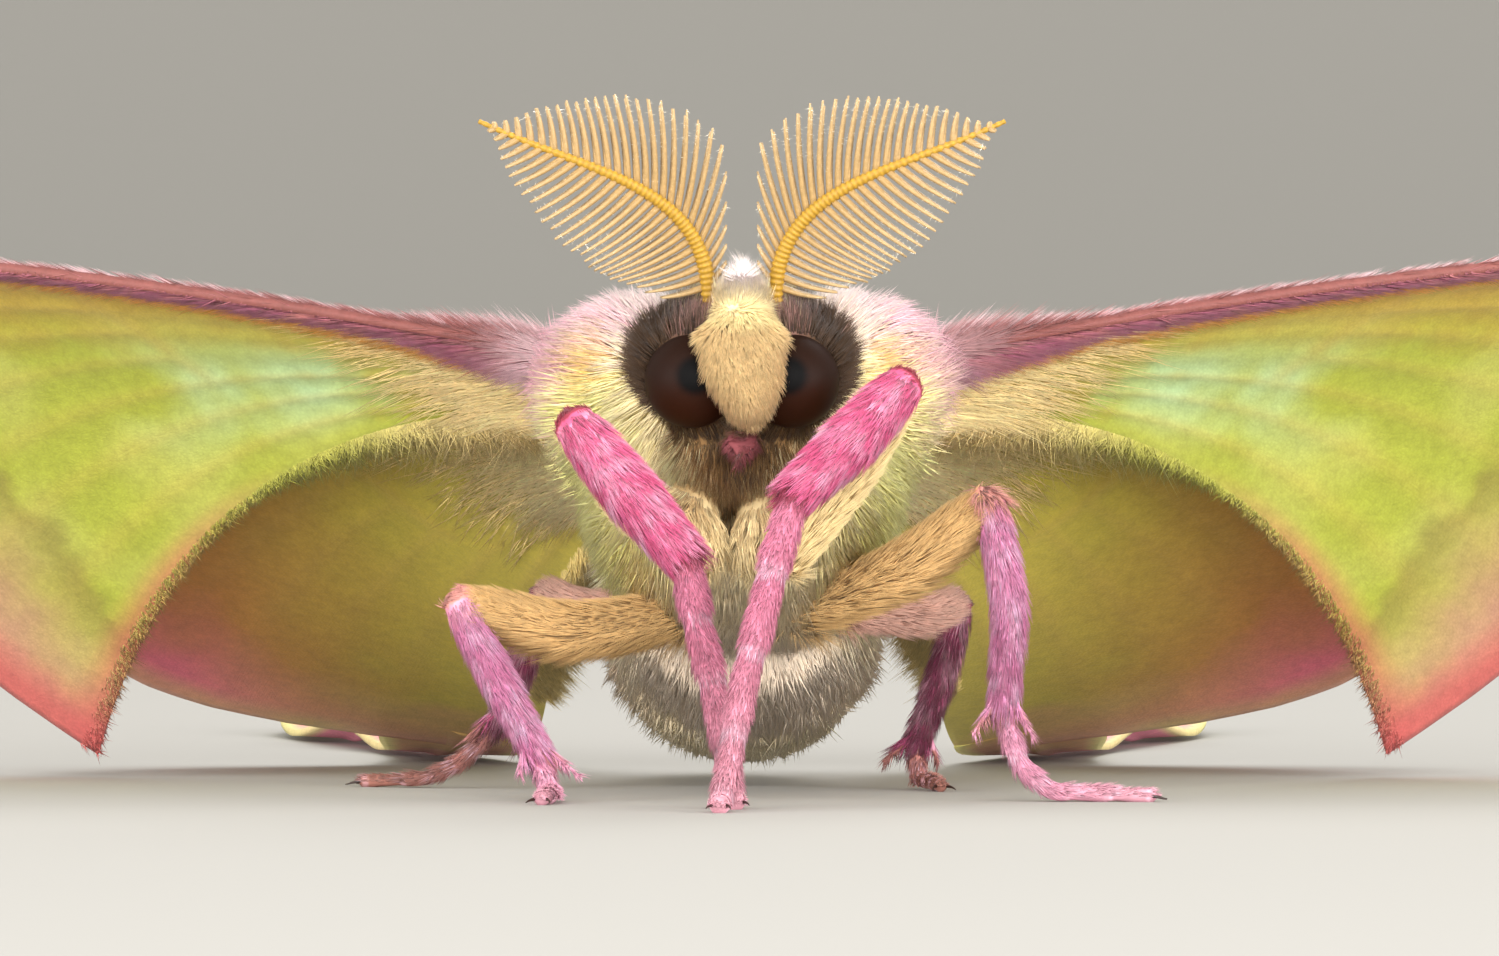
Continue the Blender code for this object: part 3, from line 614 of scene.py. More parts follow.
def tufts(name, slot, roots, lie, colour, rng, length, width, lift, stretches=2, clump=0.5,
          clumps=0.1, droop=0.4, wave=0.14, sink=0.12, painted_root_shade=0.82, tip_pale_and_painted_light=1.08, tone=0.09):
    """A coat piece: one blade for each root. Length, width and sink, the depth of the root, are
    in mm, lift is the angle off the skin in radians, clumps is the share of tufts that others
    are drawn to, and clump says how far. The root shade is painted shade that darkens a tuft's
    root, where its neighbours shade it. The tip shade lightens its tip, partly as the hair's own
    paler tips and partly as painted light. Tone is how much tufts differ. Length, width and lift
    may be given for each tuft, and so may the shades and tone, in an array shaped (count, 1, 1)."""
    points, normals, flat = roots
    count = len(points)
    lie = unit(lie - normals * (lie * normals).sum(1, keepdims=True))
    across = np.cross(lie, normals)
    length = length * rng.uniform(0.7, 1.15, count)
    half = 0.5 * width * rng.uniform(0.8, 1.2, count)
    s = np.linspace(0.0, 1.0, stretches + 1)[None, :, None]
    rise = np.sin(lift * np.ones(count))[:, None, None] * (s - droop * s * s)
    run = np.cos(lift * np.ones(count))[:, None, None] * s + 0.25 * droop * s * s
    sway = rng.normal(0.0, wave, (count, 1, 1)) * s + rng.normal(0.0, wave, (count, 1, 1)) * s * s
    path = points[:, None] - normals[:, None] * sink + length[:, None, None] * (
        lie[:, None] * run + normals[:, None] * rise + across[:, None] * sway)
    chosen = rng.choice(count, max(1, int(count * clumps)), replace=False)
    tree = KDTree(len(chosen))
    for i, k in enumerate(chosen):
        tree.insert(points[k], i)
    tree.balance()
    leader = chosen[np.array([tree.find(point)[1] for point in points])]
    path += (path[leader] - path) * (clump * s ** 1.6)
    path[..., 2] = np.maximum(path[..., 2], LOWEST[0])
    ahead = unit(np.diff(path, axis=1))
    side = unit(np.cross(ahead, normals[:, None]) + 1e-6)
    up = np.cross(side, ahead)
    half = half[:, None, None] * np.array(TAPER[:stretches])[None, :, None]
    verts = np.empty((count, 3 * stretches + 1, 3))
    verts[:, 0:-1:3] = path[:, :-1] - side * half
    verts[:, 1:-1:3] = path[:, :-1] + side * half
    verts[:, 2:-1:3] = path[:, :-1] + up * (0.7 * half)
    verts[:, -1] = path[:, -1]
    verts[..., 2] = np.maximum(verts[..., 2], LOWEST[1])
    faces, corners = blade(stretches)
    triangles = (faces[None] + verts.shape[1] * np.arange(count)[:, None, None]).reshape(-1, 3)
    # Painted shade darkens each tuft's root, where its neighbours shade it, and the tip is
    # lightened, partly as the hair's own paler tips and partly as painted light.
    shades = np.ones((count, 3 * stretches + 1, 1))
    shades[:, :3], shades[:, -1:] = painted_root_shade, tip_pale_and_painted_light
    colours = np.clip(colour[:, None] * shades * rng.normal(1.0, tone, (count, 1, 1)), 0.0, 1.0)
    settle(mesh_from_arrays(name, verts.reshape(-1, 3), triangles, body_fur,
                            colours.reshape(-1, 3),
                            (flat[:, None] + corners[None]).reshape(-1, 2)), slot)
    print(f"{name}: {count} tufts, {len(triangles)} triangles")


# %% [markdown]
# ## The lie of the body's coat
#
# Fur starts at the face and streams away from it: outward round the eyes, back over the
# shoulders, down over the breast, and back and down along the abdomen.

# %% Directions, lengths and lifts of the body's coat
FACE_MIDDLE = np.array((0.0, -8.0, 13.2))


def body_lie(p):
    """Which way the coat lies at places on the body."""
    x, y, z = p.T
    zero = np.zeros(len(p))
    radial = unit(np.column_stack((x, zero, z - FACE_MIDDLE[2])))
    eye = mirrored_eye(x)
    round_eye = unit((p - eye) * (1.0, 0.0, 1.0)) + np.array((0.0, -0.3, 0.0))
    near_eye = near(np.linalg.norm((p - eye) * (1.0, 0.4, 1.0), axis=1), 2.7, 0.6)
    lie = blended(radial + np.array((0.0, 0.9, -0.35)), round_eye, near_eye)
    breast = near(z, 11.8, 1.6) * near(np.abs(x), 2.6, 1.2) * near(y, -3.0, 1.5)
    lie = blended(lie, np.column_stack((0.12 * x, zero - 0.1, zero - 1.0)), breast)
    outward = near(-np.abs(x), -3.8, 1.2) * near(-z, -12.2, 1.6)
    lie = blended(lie, np.column_stack((1.3 * np.sign(x), zero + 0.2, zero + 0.3)), outward)
    return blended(lie, np.column_stack((0.1 * x, zero + 1.0, zero - 0.25)), near(-y, -4.0, 2.5))


def mirrored_eye(x):
    """The centre of the eye on the same side as each x."""
    return np.column_stack((np.where(x < 0, -EYE[0], EYE[0]), np.full(len(x), EYE[1]),
                            np.full(len(x), EYE[2])))


def in_face(p):
    """Where the coat belongs to the face: the ring, the bib, the crown and the cheeks."""
    return (p[:, 1] < -5.2) & (p[:, 2] > 9.9)


def in_shield(p):
    """Where the coat belongs to the shield between the eyes."""
    return (p[:, 1] < -8.4) & (np.abs(p[:, 0]) < 1.9) & (p[:, 2] > 11.8)


def clear_of_eyes(p):
    return np.linalg.norm(p - mirrored_eye(p[:, 0]), axis=1) > EYE_RADIUS - 0.15


# %% Grow the thorax and the abdomen
def keep(roots, chosen):
    return tuple(part[chosen] for part in roots)


def mingled(p, reach, rng):
    """Body colours for tufts, where those at the edge of a patch mingle with its neighbours."""
    return body_marking(p + rng.normal(0.0, reach, p.shape) * (1.0, 0.3, 1.0))


def facing_out(p, n):
    """More roots where the coat is seen from the front and sides."""
    return 1.0 + 1.2 * (n[:, 1] < 0.15) + 0.8 * (n[:, 1] < -0.5)


rng = np.random.default_rng(3)
body = skin_arrays(body_skin)
for number in range(3):
    roots = draw_roots(body, 17800, rng, lambda p, n: (p[:, 1] < 4.5) * (~in_face(p))
                       * facing_out(p, n))
    p = roots[0]
    shoulder = near(-np.abs(p[:, 0]), -3.6, 1.2) * near(-p[:, 2], -12.6, 1.4)
    long = 0.85 + 0.3 * near(p[:, 2], 14.0, 3.0) + 0.15 * mottle(p, 1.6, 5.0) + 0.35 * shoulder
    hip = near(p[:, 1], -4.6, 1.0) * near(np.abs(p[:, 0]), 2.6, 0.6)
    by_gold = near(np.hypot(np.abs(p[:, 0]) - GOLD_PLACE[0], p[:, 2] - GOLD_PLACE[1]), 1.2, 0.8)
    long *= 1.0 - 0.35 * hip - 0.4 * by_gold * near(p[:, 1], -2.0, 1.5)
    tufts(f"thorax_coat_{number}", "body_coat", roots, body_lie(p), mingled(p, 0.16, rng), rng,
          length=2.1 * long, width=0.07, lift=0.46 - 0.1 * hip + 0.25 * shoulder, clumps=0.07,
          painted_root_shade=0.95)

roots = draw_roots(body, 15500, rng, lambda p, n: 1.0 * (p[:, 1] > 3.2))
p = roots[0]
tufts("abdomen_coat", "belly_coat", roots, body_lie(p), mingled(p, 0.3, rng), rng, length=1.9,
      width=0.12, lift=0.32, painted_root_shade=0.95, tone=0.06)

# %% [markdown]
# ## The face
#
# The face has the shortest hair. It stands out round the eyes like a brush and lies smooth and
# close on the shield between them, and on the crown it turns up into a small white tuft.

# %% Grow the face
roots = draw_roots(body, 34000, rng, lambda p, n: 1.0 * in_face(p) * ~in_shield(p))
roots = keep(roots, clear_of_eyes(roots[0]))
p = roots[0]
fringe = near(np.linalg.norm((p - mirrored_eye(p[:, 0])) * (1, 0.4, 1), axis=1), 2.5, 0.5)
palps = near(p[:, 1], -8.0, 0.3) * near(p[:, 2], 11.9, 0.2) * near(np.abs(p[:, 0]), 0.75, 0.2)
crown = near(-p[:, 2], -16.3, 0.6) * near(np.abs(p[:, 0]), 1.0, 0.3)
bib = near(p[:, 2], 12.0, 0.6)
outer = near(-np.abs(p[:, 0]), -2.75, 0.4) * near(-p[:, 2], -12.4, 0.6)
# On the crown the painted shade at the roots is lighter, and the tips are lightened less.
pale = crown[:, None, None]
long = (1.15 - 0.1 * fringe + 0.1 * crown + 0.25 * bib + 0.6 * outer) * (1 - 0.55 * palps)
long = long * rng.uniform(0.8, 1.2, len(p))
tufts("face_coat", "face_coat", roots,
      blended(body_lie(p), 0.3 * p[:, :1] * (1, 0, 0) + (0.0, -0.3, 1.0), crown),
      mingled(p, 0.24 * (1.0 - 0.85 * palps)[:, None], rng), rng, length=long, width=0.06,
      lift=0.7 + 0.15 * fringe - 0.2 * crown - 0.25 * palps + 0.2 * outer, stretches=1,
      clumps=0.09, painted_root_shade=0.6 + 0.32 * pale, tip_pale_and_painted_light=1.3 - 0.25 * pale, tone=0.16)

roots = draw_roots(body, 22000, rng, lambda p, n: 1.0 * in_shield(p) * (n[:, 1] < 0.3))
roots = keep(roots, clear_of_eyes(roots[0]))
p = roots[0]
low_part = near(p[:, 2], 14.4, 0.8)
down = np.column_stack((0.25 - 0.25 * p[:, 0] + 0.5 * p[:, 0] * near(-p[:, 2], -14.6, 1.0),
                        -0.2 + 0 * p[:, 0], -1.0 + 0 * p[:, 0]))
brow = near(-p[:, 2], -15.8, 0.5)  # here the hair turns up towards the crown
# Towards the crown the painted shade at the roots is lighter, and the tips are lightened less.
pale = brow[:, None, None]
tufts("shield_coat", "face_coat", roots,
      blended(down, p * (0.5, 0.0, 0.0) + (0.0, 0.1, 1.0), brow), body_marking(p), rng,
      length=0.62 + 0.1 * low_part + 0.1 * brow, width=0.055,
      lift=0.75 + 0.1 * low_part - 0.35 * brow, stretches=1, clump=0.55, clumps=0.12, droop=0.2,
      sink=0.05, painted_root_shade=0.66 + 0.26 * pale, tip_pale_and_painted_light=1.18 - 0.12 * pale, tone=0.13)

settle(body_skin, "body_coat", "thorax", "abdomen", "head", "fore_left_coxa",
       "fore_right_coxa", "palp_left", "palp_right")

# %% [markdown]
# ## Eyes
#
# Each compound eye is a smooth dark dome of thousands of lenses. From wherever the eye is seen,
# the lenses that look straight back swallow the light. In the photograph that spot lies beside
# the shield, so it is painted there as a soft black patch, and the lenses are a fine cell
# pattern in the bump, drawn at 0.06 mm so that they show at all.

# %% Eye finish
EYE_BROWN, EYE_RED, EYE_BLACK = "#1F0F08", "#2A1105", "#020101"
LENS_SIZE = 0.06
SPOT_PLACE = EYE + np.array((-0.15, -1.48, 0.18))
SPOT_SIZE = (0.42, 0.8)  # radius where it is black, and where it has faded out


def eye_finish(name, sign):
    """A dark, glossy dome, redder below, with a soft black patch beside the shield."""
    made, tree, shader = principled(name, Roughness=0.55, Specular_IOR_Level=0.08)
    place = add(tree, "ShaderNodeTexCoord").outputs["Object"]
    spot = tuple(placed(SPOT_PLACE * (sign, 1.0, 1.0)))
    away = add(tree, "ShaderNodeVectorMath", {0: place, 1: spot}, operation="DISTANCE")
    patch = add(tree, "ShaderNodeMapRange", {
        "Value": away.outputs["Value"], "From Min": SPOT_SIZE[0] * MM,
        "From Max": SPOT_SIZE[1] * MM},
        interpolation_type="SMOOTHSTEP")
    height = add(tree, "ShaderNodeSeparateXYZ", {"Vector": place})
    middle_z = placed(EYE)[2]
    low = add(tree, "ShaderNodeMapRange", {
        "Value": height.outputs["Z"], "From Min": middle_z - 1.3 * MM,
        "From Max": middle_z + 0.2 * MM})
    shell = add(tree, "ShaderNodeMix", {0: low.outputs["Result"], 6: rgba(EYE_RED),
                                        7: rgba(EYE_BROWN)}, data_type="RGBA")
    mixed = add(tree, "ShaderNodeMix", {0: patch.outputs["Result"], 6: rgba(EYE_BLACK),
                                        7: shell.outputs[2]}, data_type="RGBA")
    tree.links.new(mixed.outputs[2], shader.inputs["Base Color"])
    lenses = add(tree, "ShaderNodeTexVoronoi", {"Vector": place, "Scale": 1.0 / (LENS_SIZE * MM)})
    relief = add(tree, "ShaderNodeBump", {"Height": lenses.outputs["Distance"],
                                          "Strength": 0.25, "Distance": 0.01 * MM}, invert=True)
    tree.links.new(relief.outputs["Normal"], shader.inputs["Normal"])
    return made


# %% Eye domes
for side, sign in SIDES:
    bm = bmesh.new()
    bmesh.ops.create_icosphere(bm, subdivisions=5, radius=EYE_RADIUS * MM)
    centre = Vector(placed(EYE * (sign, 1.0, 1.0)))
    for vertex in bm.verts:
        vertex.co += centre
    mesh = bpy.data.meshes.new("eye_dome_" + side)
    bm.to_mesh(mesh)
    bm.free()
    mesh.shade_smooth()
    settle(new_object("eye_dome_" + side, mesh, eye_finish("faceted_eye_" + side, sign)),
           "eyes", "eye_" + side)
print("eyes", 2 * EYE_RADIUS, "mm across")

# %% [markdown]
# ## Feelers
#
# A male's feelers are double combs that sift the air for scent. The yellow shaft is a chain of
# short rings, and each ring carries two pairs of curved rays, fringed with clear bristles that
# glitter. The rays are swept along the shaft from one rule for their length, and Geometry Nodes
# scatter the bristles over them, because there are thousands and all are alike.

# %% Sizes of the feelers
SHAFT = ((1.05, -7.7, 15.9), (1.0, -8.5, 19.8), (4.6, -9.6, 20.0), (8.4, -8.6, 21.8))
SHAFT_RADIUS = 0.26
SHAFT_RINGS = 54
RAY_COUNT = 54  # on each side, in pairs, one behind the other
RAY_LENGTH = 2.95
RAY_FULLEST = 0.625
RAY_RADIUS = 0.088
RAY_STEPS, RAY_SIDES, SHAFT_SIDES = 9, 6, 12
RAY_CLEAR = 0.5  # the rays of the two feelers stay this far from the middle
RAY_LEAN = {1.0: (42.0, 22.0), -1.0: (-22.0, 34.0)}  # degrees towards the tip, root to tip
BRISTLE = (0.2, 0.011)  # length and radius
BRISTLE_DENSITY = 70.0  # bristles on a square millimetre of ray


# %% Shaft and rays
def swept(lines, radii, across, sides):
    """Closed tapered rods along many lines at once: arrays of places, radii and one side each."""
    count, steps = lines.shape[:2]
    ahead = unit(np.gradient(lines, axis=1))
    side = unit(np.cross(ahead, across))
    up = np.cross(side, ahead)
    turn = np.linspace(0.0, 2.0 * math.pi, sides, endpoint=False)
    ring = (side[:, :, None] * np.cos(turn)[None, None, :, None]
            + up[:, :, None] * np.sin(turn)[None, None, :, None])
    verts = (lines[:, :, None] + ring * radii[:, :, None, None]).reshape(-1, 3)
    quads = []
    for r in range(steps - 1):
        for k in range(sides):
            a, b = r * sides + k, r * sides + (k + 1) % sides
            quads.append((a, b, b + sides, a + sides))
    caps = [(0, k + 1, k) for k in range(1, sides - 1)]
    last = (steps - 1) * sides
    caps += [(last, last + k, last + k + 1) for k in range(1, sides - 1)]
    shape = np.concatenate((quads_to_triangles(quads), np.array(caps)))
    triangles = (shape[None] + steps * sides * np.arange(count)[:, None, None]).reshape(-1, 3)
    return verts, triangles


def feeler_frame(sign, t):
    """Places on a feeler's shaft, the way ahead there, and the way to its upper side."""
    shaft = mirrored(SHAFT, sign)
    t = np.asarray(t, float)
    ahead = unit(bezier(shaft, np.minimum(t + 0.01, 1.0)) - bezier(shaft, np.maximum(t - 0.01, 0)))
    upper = unit(np.cross(ahead, (0.0, sign, 0.0)))
    return bezier(shaft, t), ahead, upper


def feeler_rays(sign, rng):
    """The middle lines of the rays of one feeler, and the radii along them."""
    lines, radii = [], []
    steps = np.linspace(0.0, 1.0, RAY_STEPS)[:, None]
    for i in range(RAY_COUNT):
        t = 0.05 + 0.93 * (i - i % 2 + 0.5 + 0.3 * (i % 2)) / RAY_COUNT
        spot, ahead, upper = feeler_frame(sign, t)
        reach = RAY_LENGTH * math.sin(math.pi * t ** RAY_FULLEST) + 0.12
        reach *= 0.4 + 0.6 * min(1.0, (0.99 - t) / 0.15)
        for turn, leans in RAY_LEAN.items():
            lean = math.radians(leans[0] + (leans[1] - leans[0]) * min(1.0, 1.3 * t))
            fold = (0.28 if i % 2 else -0.16) * np.array((0.0, 1.0, 0.0))
            out = upper * turn * math.cos(lean) + ahead * math.sin(lean)
            length = reach * (1.06 if turn < 0 and t > 0.45 else 1.0) * rng.uniform(0.96, 1.02)
            path = length * (out * steps + (ahead * 0.16 + fold) * steps ** 2)
            inward = -(sign * path[:, 0]).min()
            path *= min(1.0, (sign * spot[0] - RAY_CLEAR) / max(inward, 0.01))
            lines.append(spot + path)
            radii.append(RAY_RADIUS * (1.15 - 0.75 * steps[:, 0] ** 2.0))
    return np.array(lines), np.array(radii)


SHAFT_YELLOW, RAY_AMBER, RAY_TIP = "#B0872A", "#9A7A48", "#AE9268"
feeler_scales = coat_finish("amber_feeler_cuticle", 0.12, roughness=0.42, sheen=0.1)
rays = {}
for side, sign in SIDES:
    t = np.linspace(0.0, 1.0, 4 * SHAFT_RINGS + 1)
    spots, ahead, upper = feeler_frame(sign, t)
    ringed = 1.0 + 0.1 * np.cos(2.0 * math.pi * t * SHAFT_RINGS)
    radii = SHAFT_RADIUS * ringed * (1.0 - 0.7 * t ** 1.3)
    spots[0] -= ahead[0] * 0.5
    verts, triangles = swept(spots[None], radii[None], upper[None], SHAFT_SIDES)
    # Painted shade in the grooves: the shaft is darker where it narrows between its rings.
    groove_shade = np.repeat(0.72 + 0.28 * (ringed - 0.9) / 0.2, SHAFT_SIDES)[:, None]
    settle(mesh_from_arrays("feeler_shaft_" + side, verts, triangles, feeler_scales,
                            linear(SHAFT_YELLOW) * groove_shade), "feelers", "antenna_" + side)
    lines, radii = feeler_rays(sign, rng)
    verts, triangles = swept(lines, radii, np.array((0.0, 1.0, 0.0)), RAY_SIDES)
    to_tip = np.tile(np.repeat(np.linspace(0.0, 1.0, RAY_STEPS), RAY_SIDES), len(lines))
    rays[side] = mesh_from_arrays("feeler_rays_" + side, verts, triangles, feeler_scales,
                                  layered(linear(RAY_AMBER), (RAY_TIP, to_tip)))
    settle(rays[side], "feelers")
    print(f"feeler {side}: {len(lines)} rays")


# %% Bristles by Geometry Nodes
def bristle_tree(finish, seed):
    """Scatter thin cones over a mesh, standing off it, and make them real."""
    tree = bpy.data.node_groups.new("bristles", "GeometryNodeTree")
    for name, kind, way in (("Rays", "NodeSocketGeometry", "INPUT"),
                            ("Density", "NodeSocketFloat", "INPUT"),
                            ("Length", "NodeSocketFloat", "INPUT"),
                            ("Radius", "NodeSocketFloat", "INPUT"),
                            ("Bristles", "NodeSocketGeometry", "OUTPUT")):
        tree.interface.new_socket(name, in_out=way, socket_type=kind)
    given = add(tree, "NodeGroupInput").outputs
    spots = add(tree, "GeometryNodeDistributePointsOnFaces", {
        "Mesh": given["Rays"], "Density": given["Density"], "Seed": seed})
    cone = add(tree, "GeometryNodeMeshCone", {
        "Vertices": 3, "Radius Top": 0.0, "Radius Bottom": given["Radius"],
        "Depth": given["Length"]}, fill_type="NONE")
    turned = add(tree, "FunctionNodeRandomValue", {0: (-0.6, -0.6, 0.0), 1: (0.6, 0.6, 6.28),
                                                   "Seed": seed + 1}, data_type="FLOAT_VECTOR")
    tilt = add(tree, "FunctionNodeRotateEuler", {
        "Rotation": spots.outputs["Rotation"], "Rotate By": turned.outputs["Value"]},
        space="LOCAL")
    size = add(tree, "FunctionNodeRandomValue", {2: 0.6, 3: 1.2, "Seed": seed + 2},
               data_type="FLOAT")
    set_out = add(tree, "GeometryNodeInstanceOnPoints", {
        "Points": spots.outputs["Points"], "Instance": cone.outputs["Mesh"],
        "Rotation": tilt.outputs["Rotation"], "Scale": size.outputs[1]})
    real = add(tree, "GeometryNodeRealizeInstances", {"Geometry": set_out.outputs["Instances"]})
    done = add(tree, "GeometryNodeSetMaterial", {"Geometry": real.outputs["Geometry"],
                                                 "Material": finish})
    add(tree, "NodeGroupOutput", {"Bristles": done.outputs["Geometry"]})
    return tree


def from_nodes(name, source, tree, values):
    """The plain mesh that a Geometry Nodes tree makes from a source object."""
    worker = new_object(name, source.data.copy())
    nodes = worker.modifiers.new("Bristles", "NODES")
    nodes.node_group = tree
    for item in tree.interface.items_tree:
        if item.in_out == "INPUT" and item.name in values:
            nodes[item.identifier] = values[item.name]
    bpy.context.view_layer.update()
    mesh = bpy.data.meshes.new_from_object(
        worker.evaluated_get(bpy.context.evaluated_depsgraph_get()))
    worker.modifiers.clear()
    worker.data = mesh
    return worker


clear_bristle, _, _ = principled("clear_feeler_bristle", Base_Color=rgba("#F4EAD2"),
                                 Roughness=0.2, Specular_IOR_Level=0.8, Coat_Weight=0.4)
for number, (side, sign) in enumerate(SIDES):
    bristles = from_nodes("feeler_bristles_" + side, rays[side],
                          bristle_tree(clear_bristle, 11 + number),
                          {"Density": BRISTLE_DENSITY / MM ** 2, "Length": BRISTLE[0] * MM,
                           "Radius": BRISTLE[1] * MM})
    settle(bristles, "feelers")
    print(bristles.name, len(bristles.data.polygons), "faces")

# %% [markdown]
# ## Wings
#
# A wing is a thin sheet held by veins that fan out from its root. Its surface is ruled here
# exactly as in the solids: rays run from the root between a front and a rear edge to the rim.
# The sheet is finer, though, with rounded veins, shallow pleats between them and an edge that
# thins out, and both faces carry their own markings.

# %% Wing shapes
FORE = {"front": ((2.6, 0.6, 13.9), (20.0, 1.2, 16.9), (33.0, 6.0, 19.6), (44.0, 13.0, 17.2)),
        "rear": ((2.8, 4.0, 11.9), (11.9, 2.4, 14.2), (19.4, 10.5, 10.2), (22.4, 17.5, 0.8)),
        "rim": ((44.0, 13.0, 17.2), (37.0, 17.0, 12.4), (30.5, 18.5, 4.6), (22.4, 17.5, 0.8)),
        "camber": 1.2, "veins": 8}
HIND = {"front": ((2.8, 4.6, 11.2), (11.2, 6.9, 15.8), (20.6, 13.2, 13.6), (23.5, 22.0, 5.5)),
        "rear": ((2.4, 4.2, 9.4), (7.2, 10.2, 9.0), (6.1, 22.0, 2.0), (8.0, 34.0, 0.3)),
        "rim": ((23.5, 22.0, 5.5), (23.5, 31.0, 0.8), (13.5, 28.0, 0.3), (8.0, 34.0, 0.3)),
        "camber": 1.0, "veins": 7}
SHEET = 0.26
VEIN_RAISE = 0.045
VEIN_WIDTH = 0.022  # share of the way from the front edge to the rear one
CELL = (0.125, 0.625, 0.45)  # the closed cell: from and to across, and its end along
PLEAT = 0.012
SHEET_LOWEST = 0.02  # how low a sheet may lie over the floor


def fan(wing, u, t):
    """Places on a wing, u along from the root and t across from the front edge."""
    front, rear, rim = wing["front"], wing["rear"], wing["rim"]
    ends = np.asarray(front[3], float), np.asarray(rear[3], float)
    t1, u1 = t[..., None], u[..., None]
    ray = bezier(front, u) * (1.0 - t1) + bezier(rear, u) * t1
    reach = bezier(rim, t) - (ends[0] * (1.0 - t1) + ends[1] * t1)
    arch = wing["camber"] * 4.0 * t1 * (1.0 - t1) * u1
    return ray + reach * u1 + np.array((0.0, 0.6, 0.8)) * arch


def vein_height(u, t, veins):
    """How far the veins stand off the sheet: a fan of ribs, cut short inside the closed cell."""
    height = np.zeros_like(u)
    for k in range(veins):
        middle = k / veins
        rib = np.exp(-((t - middle) / VEIN_WIDTH) ** 2)
        if CELL[0] < middle < CELL[1]:
            rib = rib * (u > CELL[2])
        height = np.maximum(height, rib * (1.0 - 0.55 * u))
    cross = np.exp(-((u - CELL[2]) / 0.012) ** 2) * (t > CELL[0]) * (t < CELL[1])
    return np.maximum(height, 0.8 * cross)


def ripple(u, t):
    """How far a wing's sheet waves off its even surface."""
    return 0.05 * np.sin(9.0 * u + 5.0 * t)


def closed_sheet(name, places, normal, half, sign, colours, shares, finish):
    """One closed sheet from a grid of places, with half its thickness at each, and the shares of
    the way along and across kept as a map called Sheet."""
    middle, out = places * (sign, 1.0, 1.0), normal * (sign, 1.0, 1.0) * half[..., None]
    faces_out = np.stack((middle + out, middle - out))
    faces_out[..., 2] = np.maximum(faces_out[..., 2], SHEET_LOWEST)
    upper, lower = np.arange(2 * half.size).reshape(2, *half.shape)
    quads = [np.stack((upper[:-1, :-1], upper[1:, :-1], upper[1:, 1:], upper[:-1, 1:]), -1),
             np.stack((lower[:-1, :-1], lower[:-1, 1:], lower[1:, 1:], lower[1:, :-1]), -1)]
    for a, b in ((upper[:, 0], lower[:, 0]), (lower[:, -1], upper[:, -1]),
                 (lower[0], upper[0]), (upper[-1], lower[-1])):
        quads.append(np.stack((a[:-1], b[:-1], b[1:], a[1:]), -1))
    quads = np.concatenate([q.reshape(-1, 4) for q in quads])
    if sign < 0:
        quads = quads[:, ::-1]
    flat = np.tile(np.column_stack([share.ravel() for share in shares]), (2, 1))
    return mesh_from_arrays(name, faces_out.reshape(-1, 3), quads_to_triangles(quads), finish,
                            colours, flat, "Sheet")


def sheet_grid(columns, rows):
    """The shares of the way along and across at each crossing of a grid."""
    return np.meshgrid(np.linspace(0.0, 1.0, columns), np.linspace(0.0, 1.0, rows), indexing="ij")


def sheet_normal(places):
    normal = unit(np.cross(np.gradient(places, axis=0), np.gradient(places, axis=1)))
    normal[0] = normal[1]
    return normal


def both_faces(marking, u, t, places, vein):
    """The colours of a sheet's upper face, then of its lower one."""
    return np.concatenate([marking(u.ravel(), t.ravel(), places.reshape(-1, 3), upper_face,
                                   vein.ravel()) for upper_face in (True, False)])


def wing_mesh(name, wing, sign, marking, finish, columns, rows):
    """A wing's sheet with its veins and pleats, which are shallow and end before the edges."""
    u, t = sheet_grid(columns, rows)
    places = fan(wing, u, t)
    normal = sheet_normal(places)
    pleat = PLEAT * np.sin(2.0 * math.pi * (wing["veins"] * t - 0.25)) * np.clip(3.0 * u, 0, 1)
    pleat *= np.clip(9.0 * (1.0 - u), 0, 1) * np.clip(12.0 * t, 0, 1) * np.clip(12 * (1 - t), 0, 1)
    height = vein_height(u, t, wing["veins"])
    edge = np.minimum(np.minimum(30.0 * (1.0 - u), 40.0 * (1.0 - t)), 1.0)
    half = 0.5 * SHEET * (0.45 + 0.55 * edge) + VEIN_RAISE * height
    return closed_sheet(name, places + normal * (pleat + ripple(u, t))[..., None], normal, half,
                        sign, both_faces(marking, u, t, places, height), (u, t), finish)


# %% [markdown]
# ## Wing markings
#
# Under the forewing the powder is lime, amber towards the root and the front edge, with cool
# pale clouds in the middle. A dusky line runs across near the rim, and beyond it the wing turns
# dull rose with a coral edge. The hindwing's lower face carries painted shadow of the forewing,
# brown under its front edge, and goes from there through olive yellow to pink at the rim, and the
# tail is pink and then yellow-green. The upper faces each have the small eyespot of the species,
# and the hindwing's upper face only a faint painted shadow. The layers read as those of the body
# do, in shares of the way along the wing, u, and across it, t.

# %% Wing colours
LIME, LIME_PALE, AQUA, AMBER = "#999E36", "#AAAA50", "#A0C298", "#C29030"
DUSK, RIM_PINK, RIM_CORAL, VEIN_TAN = "#7E7034", "#AE7E68", "#B85452", "#C09A50"
HIND_OLIVE, HIND_SHADOW_BROWN, HIND_PINK, HIND_ROSE = "#BFAE40", "#8C6230", "#D4627C", "#BC7A40"
TAIL_PINK, TAIL_GREEN = "#E27C93", "#D5D27C"
BAND_WHITE, BAND_ROSE, BAND_MAUVE, BAND_DARK = "#F0CFD2", "#B97470", "#A65E74", "#5A2F1E"
BAND_EDGE = "#804A44"
AMBER_HAIR, HAIR_CREAM, HAIR_LIME = "#E3A13C", "#FFDFA2", "#A8A34A"
SPOT_DARK, SPOT_PALE = "#7A2D3A", "#F2E3B0"


def eyespot(colour, u, t, middle, size, stretch):
    """A small ring, dark on its inner side and clear in the middle."""
    away = np.hypot((u - middle[0]) / size, (t - middle[1]) * stretch / size)
    return layered(colour, (SPOT_DARK, near(away, 1.0, 0.25) * near(u, middle[0], 0.02)),
                   (SPOT_PALE, near(away, 0.62, 0.2)))


